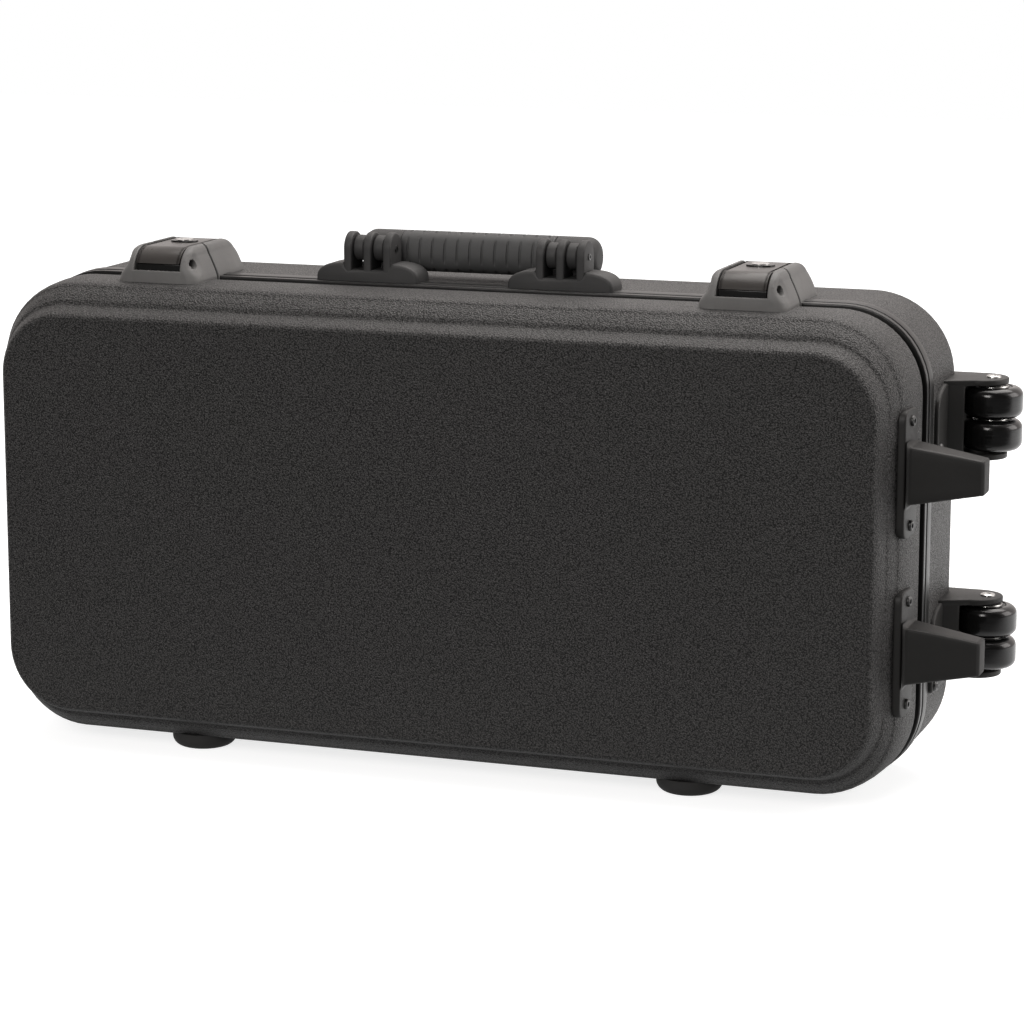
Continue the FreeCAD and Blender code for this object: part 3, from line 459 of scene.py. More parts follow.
@dataclass(frozen=True)
class PebbledPlastic(Finish):
    """Moulded plastic with a leathery pebble grain, its creases painted darker as painted shade and its
    pebble tops painted lighter as painted highlight.
    """

    grain: float = 1.05
    depth: float = 0.0006
    rough_low: float = 0.40
    rough_high: float = 0.58
    specular: float = 0.42

    def make(self) -> bpy.types.Material:
        """Round pebbles of cells and noise, smoother on their tops than in the creases; the colour follows
        the pebble height, as painted shade in the creases and painted highlight on the tops.
        """
        sheet = Sheet(self.name)
        per_metre = 1 / (self.grain * MM)
        pebble = sheet.ramp(sheet.cells(per_metre), (0.0, 0.75), (1.0, 0.0))
        swirl = sheet.noise(per_metre * 0.9, 2.0, 0.55)
        height = sheet.sum(pebble, sheet.sum(swirl, 0.7, "MULTIPLY"))
        sheet.bump(height, self.depth)
        # painted light and shade: the base colour runs from dark in the grain's creases to light on the
        # pebble tops, in place of the shading of the bumps
        sheet.tint(sheet.ramp(height, (0.54, 1.2), (0.0, 1.0)), self.dark, self.light)
        worn = sheet.noise(9.0, 3.0, 0.6)
        base = sheet.ramp(worn, (0.3, 0.7), (self.rough_low, self.rough_low + 0.07))
        crease = sheet.ramp(height, (0.5, 1.4), (self.rough_high - self.rough_low, 0.0))
        sheet.roughness(sheet.sum(base, crease))
        sheet.fixed(Specular_IOR_Level=self.specular)
        return sheet.material


@dataclass(frozen=True)
class SatinPlastic(Finish):
    """Plain moulded plastic with a fine spark-eroded skin."""

    rough: float = 0.45
    grain: float = 0.45
    depth: float = 0.00003
    specular: float = 0.3

    def make(self) -> bpy.types.Material:
        """Fine noise for the skin and broad soft patches of handling in the gloss."""
        sheet = Sheet(self.name)
        skin = sheet.noise(1 / (self.grain * MM), 2.0, 0.6)
        sheet.bump(skin, self.depth)
        patch = sheet.noise(22.0, 4.0, 0.6)
        sheet.tint(sheet.ramp(patch, (0.3, 0.7), (0.0, 1.0)), self.dark, self.light)
        sheet.roughness(sheet.ramp(patch, (0.25, 0.75), (self.rough + 0.05, self.rough - 0.05)))
        sheet.fixed(Specular_IOR_Level=self.specular)
        return sheet.material


@dataclass(frozen=True)
class SoftRubber(Finish):
    """Matte rubber with a dusty bloom."""

    rough: float = 0.7

    def make(self) -> bpy.types.Material:
        """Fine grain, with paler bloom in broad patches."""
        sheet = Sheet(self.name)
        grain = sheet.noise(2400.0, 2.0, 0.6)
        sheet.bump(grain, 0.00004)
        bloom = sheet.noise(35.0, 5.0, 0.65)
        sheet.tint(sheet.ramp(bloom, (0.35, 0.75), (0.0, 1.0)), self.dark, self.light)
        sheet.roughness(sheet.ramp(bloom, (0.3, 0.7), (self.rough - 0.06, self.rough + 0.08)))
        sheet.fixed(Specular_IOR_Level=0.35)
        return sheet.material


@dataclass(frozen=True)
class PlatedSteel(Finish):
    """Plated steel, turned or rolled, with fine scratches."""

    rough: float = 0.28

    def make(self) -> bpy.types.Material:
        """Stretched noise for the rolling lines and small stains in the gloss."""
        sheet = Sheet(self.name)
        stretch = sheet.node("Mapping", {"Vector": sheet.place, "Scale": (300.0, 4200.0, 4200.0)})
        lines = sheet.node("TexNoise", {"Vector": stretch.outputs["Vector"], "Scale": 1.0, "Detail": 2.0})
        sheet.bump(lines.outputs["Fac"], 0.000008)
        stain = sheet.noise(160.0, 4.0, 0.6)
        sheet.tint(sheet.ramp(stain, (0.3, 0.7), (0.0, 1.0)), self.dark, self.light)
        sheet.roughness(sheet.ramp(stain, (0.3, 0.7), (self.rough + 0.1, self.rough - 0.04)))
        sheet.fixed(Metallic=1.0)
        return sheet.material


@dataclass(frozen=True)
class CastWheel(Finish):
    """Cast wheel tread: glossy, with faint rolling scuffs."""

    rough: float = 0.16

    def make(self) -> bpy.types.Material:
        """Broad swell of the casting and scuffs along the tread."""
        sheet = Sheet(self.name)
        stretch = sheet.node("Mapping", {"Vector": sheet.place, "Scale": (60.0, 60.0, 900.0)})
        scuff = sheet.node("TexNoise", {"Vector": stretch.outputs["Vector"], "Scale": 1.0, "Detail": 4.0})
        share = sheet.ramp(scuff.outputs["Fac"], (0.35, 0.8), (0.0, 1.0))
        sheet.bump(sheet.noise(420.0, 2.0), 0.00002)
        sheet.tint(share, self.dark, self.light)
        sheet.roughness(sheet.ramp(share, (0.0, 1.0), (self.rough, self.rough + 0.14)))
        sheet.fixed(Specular_IOR_Level=0.45, Coat_Weight=0.1, Coat_Roughness=0.08)
        return sheet.material


@dataclass(frozen=True)
class ShortPlush(Finish):
    """Short-pile plush over foam."""

    def make(self) -> bpy.types.Material:
        """Tufts of fine noise, brushed lighter and darker in broad patches, with a soft sheen."""
        sheet = Sheet(self.name)
        pile = sheet.noise(1500.0, 4.0, 0.7)
        brushed = sheet.noise(14.0, 4.0, 0.6)
        sheet.bump(pile, 0.0005)
        tufts = sheet.ramp(pile, (0.3, 0.7), (0.0, 0.6))
        share = sheet.sum(tufts, sheet.ramp(brushed, (0.3, 0.7), (0.0, 0.4)))
        sheet.tint(share, self.dark, self.light)
        sheet.roughness(0.95)
        sheet.fixed(Specular_IOR_Level=0.15, Sheen_Weight=0.5, Sheen_Roughness=0.4)
        return sheet.material


FINISHES = {
    "shell": PebbledPlastic("pebbled_shell_plastic", (0.002, 0.002, 0.002), (0.066, 0.064, 0.063)),
    "valance": SatinPlastic(
        "valance_plastic", (0.004, 0.0039, 0.0038), (0.007, 0.0068, 0.0066), rough=0.36, specular=0.38
    ),
    "seal": SoftRubber("seal_rubber", (0.012, 0.012, 0.012), (0.02, 0.02, 0.02)),
    "lining": ShortPlush("lining_plush", (0.006, 0.006, 0.007), (0.028, 0.028, 0.031)),
    "foot_rubber": SoftRubber("foot_rubber", (0.020, 0.020, 0.020), (0.034, 0.033, 0.032)),
    "fastener_steel": PlatedSteel("fastener_bright_zinc", (0.40, 0.40, 0.39), (0.54, 0.54, 0.53), 0.26),
    "black_steel": PlatedSteel("hinge_black_steel", (0.06, 0.06, 0.06), (0.13, 0.13, 0.13), 0.38),
    "handle_plastic": SatinPlastic(
        "handle_plastic", (0.027, 0.027, 0.027), (0.036, 0.035, 0.035), rough=0.58, specular=0.35
    ),
    "handle_rubber": SoftRubber("grip_rubber", (0.048, 0.048, 0.048), (0.066, 0.066, 0.066), 0.6),
    "latch_grey": SatinPlastic(
        "latch_grey_plastic",
        (0.112, 0.109, 0.107),
        (0.145, 0.142, 0.138),
        rough=0.5,
        grain=0.8,
        depth=0.00006,
    ),
    "lever_dark": SatinPlastic(
        "lever_dark_plastic", (0.034, 0.031, 0.029), (0.046, 0.042, 0.039), rough=0.3
    ),
    "trigger_black": SatinPlastic(
        "trigger_black_plastic", (0.006, 0.006, 0.006), (0.01, 0.01, 0.01), rough=0.22
    ),
    "lock_chrome": PlatedSteel("lock_plated_steel", (0.55, 0.55, 0.54), (0.72, 0.72, 0.71), 0.22),
    "bracket_plastic": SatinPlastic(
        "bracket_plastic",
        (0.012, 0.0117, 0.0112),
        (0.018, 0.0175, 0.0168),
        rough=0.5,
        grain=0.7,
        depth=0.00006,
    ),
    "wheel_tread": CastWheel("wheel_tread", (0.002, 0.002, 0.002), (0.006, 0.006, 0.006)),
    "wheel_hub": SatinPlastic(
        "wheel_hub_plastic", (0.016, 0.016, 0.016), (0.026, 0.026, 0.026), rough=0.35
    ),
}


class Wardrobe:
    """The materials, made once each and put on pieces by slot."""

    def __init__(self) -> None:
        """Make every finish."""
        self.materials = {slot: finish.make() for slot, finish in FINISHES.items()}

    def dress(self, piece: Object, slot: str) -> None:
        """Put one slot's finish on a piece, in place of what it wears."""
        piece.data.materials.clear()
        piece.data.materials.append(self.materials[slot])


@dataclass
class SubAssembly:
    """What the parts of the case share: the wardrobe and the way that a piece joins the frame."""

    wardrobe: Wardrobe

    def join(self, skin: Skin, name: str, body: str, slot: str, nodes: Sequence[str]) -> Object:
        """Turn a skin into a dressed piece that rides on a body.

        Args:
            skin: The piece's surfaces.
            name: Name of the piece.
            body: Body that carries it.
            slot: Material slot that it wears.
            nodes: Nodes that it stands for.

        Returns:
            The piece.
        """
        piece = skin.to_object(name)
        self.wardrobe.dress(piece, slot)
        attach(piece, body)
        if nodes:
            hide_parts(*nodes)
        LOG.info("piece %s on %s: %d faces", name, body, len(piece.data.polygons))
        return piece


@dataclass
class Shells(SubAssembly):
    """The two pebbled shells: a lid with a raised face, and a deep base with a round rear edge."""

    length: float = 700.0
    height: float = 345.0
    corner: float = 60.0
    wall: float = 4.0
    lid_depth: float = 80.0
    base_depth: float = 106.0
    lid_rim: float = -1.6
    base_rim: float = 20.0
    base_proud: float = 0.9
    rear_edge: float = 16.0
    face_long: float = 24.0
    face_short: float = 17.0
    face_corner: float = 46.0
    moulding: float = 0.9

    def rings(self, sections: Array) -> Array:
        """Rounded rectangles of the case outline along a table of sections.

        Args:
            sections: Rows of depth, inset on the long sides, inset on the short sides and corner radius.

        Returns:
            Grid of rows, columns and three coordinates.
        """
        depth, long_inset, short_inset, radius = sections.T
        shares = ring_shares(14, 10)
        x, z = ring_rows(self.length / 2 - short_inset, self.height / 2 - long_inset, radius, shares)
        y = np.repeat(depth[:, None], x.shape[1], axis=1)
        return np.stack([x, y, z + self.height / 2], axis=-1)

    def lid_section(self, depth: float, long_share: float, short_share: float, grow: float) -> tuple:
        """One section of the lid, drawn in by shares of the face's insets and by a wall."""
        radius = self.corner - (self.corner - self.face_corner) * long_share - grow
        return (-depth, self.face_long * long_share + grow, self.face_short * short_share + grow, radius)

    def lid(self) -> Object:
        """Lid: drafted wall, sloping shoulder, raised face; then the rim and the drafted inside."""
        deep = self.lid_depth
        walk_shares = [
            (0.250, 0.004, 0.020),
            (0.375, 0.014, 0.055),
            (0.475, 0.031, 0.105),
            (0.550, 0.050, 0.165),
            (0.600, 0.075, 0.220),
            (0.634, 0.125, 0.275),
            (0.650, 0.188, 0.340),
            (0.735, 0.375, 0.460),
            (0.790, 0.540, 0.560),
            (0.805, 0.650, 0.610),
            (0.810, 0.690, 0.630),
            (0.880, 0.770, 0.720),
            (0.945, 0.840, 0.830),
            (0.985, 0.910, 0.940),
            (1.000, 1.000, 1.040),
        ]
        rim = [(0.0, 3.4), (0.8, 2.0), (2.4, 1.0), (5.0, 0.35), (8.0, 0.0)]
        outside = [self.lid_section(depth - self.lid_rim, 0, 0, grow) for depth, grow in rim]
        outside += [self.lid_section(deep * d, a, b, 0) for d, a, b in walk_shares]
        face = np.array(outside[-1])
        outside.append(tuple(face + np.array([0, 24.0, 24.0, -20.0])))
        inside_shares = [(0.2, 0.0, 0.0), (0.6, 0.083, 0.247), (0.78, 0.708, 0.606)]
        inside = [self.lid_section(-self.lid_rim, 0, 0, self.wall)]
        inside += [self.lid_section(deep * d, a, b, self.wall) for d, a, b in inside_shares]
        inside.append(self.lid_section(deep - self.wall, 1, 1, self.wall))
        outer = soft_profile(outside, self.moulding)[::-1]
        inner = soft_profile(inside, self.moulding, spacing=2.0)
        skin = Skin().add_grid(self.rings(np.concatenate([outer, inner])))
        return self.join(skin, "lid_shell_moulding", "lid", "shell", ["lid_shell"])

    def base(self) -> Object:
        """Base: flat back, round rear edge, drafted wall and rim; then the inside."""
        bend = self.base_depth - self.rear_edge
        turn = np.linspace(QUARTER, 0, 13)

        def wall_rows(grow: float) -> list[tuple]:
            radius = self.rear_edge - grow
            inset = grow + radius * (1 - np.cos(turn))
            rows = [(bend + radius * math.sin(t), i, i, self.corner - i) for t, i in zip(turn, inset)]
            proud = self.base_proud
            rim_inset = grow - proud
            rows = [(d, a - proud, b - proud, r + proud) for d, a, b, r in rows]
            rows.append((self.base_rim, rim_inset, rim_inset, self.corner - rim_inset))
            return rows

        outside = wall_rows(0.0)
        far = np.array(outside[0]) + np.array([0, 12.0, 12.0, -12.0])
        outer = soft_profile([tuple(far), *outside], 0.9, spacing=1.0)
        inner = np.array(wall_rows(self.wall)[::-1])
        skin = Skin().add_grid(self.rings(np.concatenate([outer, inner])))
        return self.join(skin, "base_shell_moulding", "base", "shell", ["base_shell"])

    def seam_frame(self) -> Object:
        """Seam frame of the base: a soft-edged profile carried round the case outline."""
        corners = [
            (3.0, 4.0),
            (3.0, -0.4),
            (3.8, -1.1),
            (8.9, -1.1),
            (8.9, 0.4),
            (10.1, 0.4),
            (10.1, -1.5),
            (20.3, -1.9),
            (20.3, 3.6),
            (36.0, 3.6),
            (36.0, 12.0),
            (3.0, 12.0),
            (3.0, 7.8),
            (7.0, 7.8),
            (7.0, 4.4),
            (3.0, 4.4),
        ]
        profile = soft_outline(corners, 0.9)
        depth, inset = profile.T
        sections = np.stack([depth, inset, inset, self.corner - inset], axis=-1)
        skin = Skin().add_grid(self.rings(sections), Ends.JOINED)
        return self.join(skin, "seam_frame", "base", "valance", ["base_valance"])

    def build(self) -> None:
        """Build the shells and the seam frame."""
        self.lid()
        self.base()
        self.seam_frame()


@dataclass
class Linings(SubAssembly):
    """The two plush-covered foam trays."""

    shells: Shells
    clear: float = 4.4
    foam: float = 8.0
    floor: float = 10.0
    lid_start: float = -16.4
    base_start: float = 36.4
    fill: float = 0.85

    def tray(self, outer: list[tuple], inner: list[tuple], name: str, body: str, node: str) -> Object:
        """A padded tray: outside of the foam, a round lip, and the inside.

        Args:
            outer: Sections of the outside, floor first.
            inner: Sections of the inside, lip first.
            name: Name of the piece.
            body: Body that carries it.
            node: Node that it stands for.

        Returns:
            The piece.
        """
        sections = soft_profile([*outer, *inner], 1.6, spacing=1.5)
        skin = Skin().add_grid(self.shells.rings(sections))
        piece = self.join(skin, name, body, "lining", [node])
        return piece

    def build(self) -> None:
        """Build both trays inside the space of their foam."""
        shells = self.shells
        deep = shells.lid_depth
        walls = [(0.6, 0.083, 0.247), (0.78, 0.708, 0.606)]

        def lid_rows(grow: float, back: float) -> list[tuple]:
            rows = [shells.lid_section(-self.lid_start, 0, 0, grow)]
            rows += [shells.lid_section(deep * d, a, b, grow) for d, a, b in walls]
            rows.append(shells.lid_section(deep - back, 1, 1, grow))
            return rows

        def base_rows(grow: float, back: float) -> list[tuple]:
            radius = shells.corner - grow
            last = shells.base_depth - back
            turn = shells.rear_edge - 4.0
            return [
                (self.base_start, grow, grow, radius),
                (last - turn, grow, grow, radius),
                (last - turn * 0.3, grow + turn * 0.3, grow + turn * 0.3, radius - turn * 0.3),
                (last, grow + turn, grow + turn, radius - turn),
            ]

        inner = self.clear + self.foam
        deep_floor = self.clear + self.floor
        for body, rows in (("lid", lid_rows), ("base", base_rows)):
            outside = rows(self.clear, self.clear)[::-1]
            self.tray(outside, rows(inner, deep_floor), body + "_lining", body, body + "_liner")


@dataclass
class Feet(SubAssembly):
    """The four domed rubber feet."""

    radius: float = 24.5
    tip: float = 16.5
    height: float = 9.5
    lip: float = 1.5
    seat: float = 2.5
    recess: float = 5.0
    recess_depth: float = 4.0

    def profile(self) -> Array:
        """Radius and height from the seat, down the lip, round the dome and up into the screw recess."""
        turn = np.linspace(0, QUARTER, 12)
        bulge = self.radius - self.tip
        drop = self.height - self.lip
        dome = arc((self.tip, -self.lip), (bulge, -drop), turn)
        recess_edge = 0.6
        recess = [
            (self.recess + recess_edge, -self.height),
            (self.recess, -self.height + recess_edge),
            (self.recess, -self.height + self.recess_depth),
        ]
        return np.concatenate([[(self.radius, self.seat)], dome, recess])

    def build(self) -> None:
        """Two feet under each shell, where the solids have them."""
        for node, body in (("lid_feet", "lid"), ("base_feet", "base")):
            low, high = (AXES.from_row(corner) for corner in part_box(node))
            y = (low[1] + high[1]) / 2
            skin = Skin()
            for x in (low[0] + self.radius, high[0] - self.radius):
                skin.add_grid(turned(self.profile(), (x, y, 0)))
            self.join(skin, node[:-4] + "domed_feet", body, "foot_rubber", [node])


@dataclass
class ScrewHead:
    """Pan-head screw with a hexagon socket."""

    radius: float = 3.8
    height: float = 2.2
    shank: float = 2.0
    length: float = 7.0
    socket: float = 2.0
    socket_depth: float = 1.4

    def grid(self, seat: Point, way: Point) -> Array:
        """Shank, dome and socket swung about the screw's own direction.

        Args:
            seat: Point under the head.
            way: Direction from the seat out through the head.

        Returns:
            Grid of rows, columns and three coordinates.
        """
        turn = np.linspace(0, QUARTER, 7)[:-1]
        flat = self.socket + 0.5
        skirt = 0.35 * self.height
        dome = arc((flat, skirt), (self.radius - flat, self.height - skirt), turn)
        under = [(self.shank, -self.length), (self.shank, 0), (self.radius, 0)]
        mouth, bottom = self.height - 0.2, self.height - self.socket_depth
        inside = [(flat, self.height), (self.socket, mouth), (self.socket, bottom)]
        flats = [0.0] * (len(under) + len(dome) + 1) + [1.0, 1.0]
        return turned(np.concatenate([under, dome, inside]), seat, way, 36, np.array(flats))


@dataclass
class StandLegs(SubAssembly):
    """The two stand-off legs on the end wall of the lid, with their screws and end pads."""

    end: float = 350.0
    middle: float = 172.5
    rise: float = 64.0
    reach: float = 53.0
    plate_height: float = 91.0
    plate_front: float = 55.0
    plate_back: float = 27.0
    plate_thick: float = 4.0
    plate_round: float = 9.0
    draft: float = 0.0875
    root: tuple[float, float, float] = (54.0, 24.0, 21.0)
    tip: tuple[float, float, float] = (46.0, 28.0, 12.0)
    flare: float = 3.0
    beam_round: float = 2.2
    pad: float = 2.0
    screw_inset: float = 8.5

    def plate(self, z: float) -> Array:
        """Rounded plate, leaned with the draft of the wall that it is screwed to."""
        half = self.plate_height / 2
        front, back = -self.plate_front, -self.plate_back
        corners = [(front, z - half), (back, z - half), (back, z + half), (front, z + half)]
        outline = soft_outline(corners, self.plate_round, 8)
        grid = soft_prism(outline, Axis.X, self.end - 2, self.end + self.plate_thick, 1.2)
        grid[:, :, 0] += self.draft * grid[:, :, 1]
        return grid

    def beam(self, z: float, start: float, stop: float, edge: float, flare: float) -> Array:
        """Tapered beam: rounded rectangles that shrink from the root to the tip.

        A flare widens the first rows on a quarter circle, and the last rows shrink on one.

        Args:
            z: Height of its middle.
            start: Where it starts along the length.
            stop: Where it ends.
            edge: Radius of the far edge.
            flare: Radius of the flare at the root, or zero.

        Returns:
            Grid of rows, columns and three coordinates.
        """
        turn = np.linspace(0, QUARTER, 6)
        x = [start + flare * (1 - np.cos(turn)), np.linspace(start + flare, stop - edge, 4)]
        x = np.concatenate([*x, stop - edge + edge * np.sin(turn)])
        grow = np.concatenate([flare * (1 - np.sin(turn)), np.zeros(4), -edge * (1 - np.cos(turn))])
        share = np.clip((x - self.end) / self.reach, 0, 1)[:, None]
        front, back, half = (np.asarray(self.root) * (1 - share) + np.asarray(self.tip) * share).T
        radius = np.full(len(x), self.beam_round)
        y, up = ring_rows((front - back) / 2 + grow, half + grow, radius, ring_shares(5, 6))
        return spread(x[:, None], y - (front + back)[:, None] / 2, up + z)

    def build(self) -> None:
        """Both legs, each with a plate, a beam and a pad; then the four screws."""
        screws = Skin()
        lean = math.hypot(1, self.draft)
        for level, way in (("upper", 1), ("lower", -1)):
            z = self.middle + way * self.rise
            stop = self.end + self.reach - self.pad
            skin = Skin().add_grid(self.plate(z))
            skin.add_grid(self.beam(z, self.end + 0.5, stop, 0.4, self.flare))
            self.join(skin, level + "_leg_moulding", "lid", "bracket_plastic", [level + "_leg"])
            pad = Skin().add_grid(self.beam(z, stop - 0.3, self.end + self.reach, 1.4, 0.0))
            self.join(pad, level + "_leg_pad", "lid", "foot_rubber", [])
            y = -(self.plate_front + self.plate_back) / 2
            for side in (-1, 1):
                rise = side * (self.plate_height / 2 - self.screw_inset)
                seat = (self.end + self.plate_thick + self.draft * y, y, z + rise)
                screws.add_grid(ScrewHead().grid(seat, (1 / lean, -self.draft / lean, 0)))
        self.join(screws, "leg_socket_screws", "lid", "black_steel", ["leg_screws"])


@dataclass
class WheelSets(SubAssembly):
    """The two twin-wheel forks with their axles, wheels and bearings."""

    end: float = 350.0
    middle: float = 177.2
    rise: float = 80.7
    wheel_x: float = 381.4
    wheel_y: float = 84.0
    radius: float = 21.6
    width: float = 22.2
    gap: float = 1.6
    shoulder: float = 6.4
    hub: float = 13.5
    bore: float = 3.05
    half_height: float = 29.3
    plate_thick: float = 4.4
    nose_x: float = 373.35
    nose_radius: float = 19.05
    flange_thick: float = 4.0
    screw_y: float = 35.0

    def fork(self, z: float) -> Skin:
        """Flange on the end wall, a folded web and two round-nosed plates."""
        bend = [(28, 10), (28.8, 14.5), (31, 18.5), (36.5, 22.5), (46, 26), (56, 27.6)]
        low, high = z - 34.5, z + 27.5
        corners = [(28, low), *((y, z + up) for y, up in bend), (97, high), (97, low)]
        flange = soft_outline(corners, 5.0)
        skin = Skin().add_grid(soft_prism(flange, Axis.X, self.end - 4, self.end + self.flange_thick, 1.6))
        turn = np.radians(np.linspace(-94, 94, 40))
        nose = arc((self.nose_x, self.wheel_y), (self.nose_radius, self.nose_radius), turn)
        inside = self.end - 8
        plate = soft_outline([(inside, 55), (self.end, 55), *nose, (inside, 103)], 1.0, 2)
        for low in (z - self.half_height, z + self.half_height - self.plate_thick):
            skin.add_grid(soft_prism(plate, Axis.Z, low, low + self.plate_thick, 1.0))
        web = soft_outline(
            [
                (inside, 55.3),
                (self.end + 0.2, 55.3),
                (self.end + 15, 62.0),
                (self.end + 15, 64.6),
                (self.end + 9, 64.6),
                (self.end + 9, 100.2),
                (self.end + 15, 100.2),
                (self.end + 15, 102.7),
                (inside, 102.7),
            ],
            1.2,
        )
        reach = self.half_height - 2
        return skin.add_grid(soft_prism(web, Axis.Z, z - reach, z + reach, 0.2))

    def axle(self, z: float) -> Array:
        """Axle rod with a pressed head outside each plate."""
        head = np.array([(2.0, 1.0), (2.4, 1.5), (4.4, 1.5), (5.3, 0.9), (5.5, 0.0), (3.0, 0.0)])
        top = head * np.array([1, 1]) + np.array([0, self.half_height])
        bottom = head[::-1] * np.array([1, -1]) - np.array([0, self.half_height])
        return turned(np.concatenate([bottom, top[::-1]]), (self.wheel_x, self.wheel_y, z))

    def wheel(self, name: str, z: float) -> None:
        """Tyre with round shoulders, recessed hub and two bearing rings, on their own body.

        Args:
            name: Level and row of the wheel.
            z: Height of its middle.
        """
        centre = (self.wheel_x, self.wheel_y, z)
        half = self.width / 2
        middle = (self.radius - self.shoulder, half - self.shoulder)
        shoulder = arc(middle, (self.shoulder, self.shoulder), np.linspace(QUARTER, 0, 12))
        inner = self.hub + 0.1
        upper = np.concatenate([[(inner, half - 0.5), (inner + 0.5, half)], shoulder])
        tyre = Skin().add_grid(turned(both_ends(upper), centre, steps=96), Ends.JOINED)
        self.join(tyre, name + "_cast_tyre", name + "_wheel", "wheel_tread", [name + "_tyre"])
        dish = half - 2
        rim = [(11.2, dish), (11.3, half - 0.2), (13.0, half - 0.4)]
        side = np.array([(self.bore, dish), *rim, (self.hub, dish)])
        hub = Skin().add_grid(turned(both_ends(side), centre, steps=72), Ends.JOINED)
        self.join(hub, name + "_spun_hub", name + "_wheel", "wheel_hub", [name + "_hub"])
        rings = Skin()
        inner_race = [(3.2, 0.2), (3.4, 0.7), (5.6, 0.7), (5.9, 0.3)]
        outer_race = [(8.6, 0.3), (8.9, 0.7), (10.7, 0.7), (11.0, 0.2)]
        sunk = [(11.0, -1.6), (3.2, -1.6)]
        ring = np.array([*inner_race, *outer_race, *sunk]) + np.array([0, half])
        for way in (1, -1):
            rings.add_grid(turned(ring * np.array([1, way]), centre, steps=64), Ends.JOINED)
        self.join(rings, name + "_bearings", name + "_wheel", "fastener_steel", [])

    def build(self) -> None:
        """Both forks with their axles and screws, then the four wheels."""
        axles = Skin()
        screws = Skin()
        for level, way in (("upper", 1), ("lower", -1)):
            z = self.middle + way * self.rise
            node = level + "_wheel_bracket"
            self.join(self.fork(z), level + "_wheel_fork", "base", "bracket_plastic", [node])
            axles.add_grid(self.axle(z))
            for drop in (16.5, 29.5):
                seat = (self.end + self.flange_thick, self.screw_y, z - drop)
                screws.add_grid(ScrewHead().grid(seat, (1, 0, 0)))
            for row, side in (("top", 1), ("bottom", -1)):
                self.wheel(level + "_" + row, z + side * (self.width + self.gap) / 2)
        self.join(axles, "wheel_axle_pins", "base", "fastener_steel", ["wheel_axles"])
        self.join(screws, "fork_socket_screws", "base", "black_steel", ["wheel_bracket_screws"])


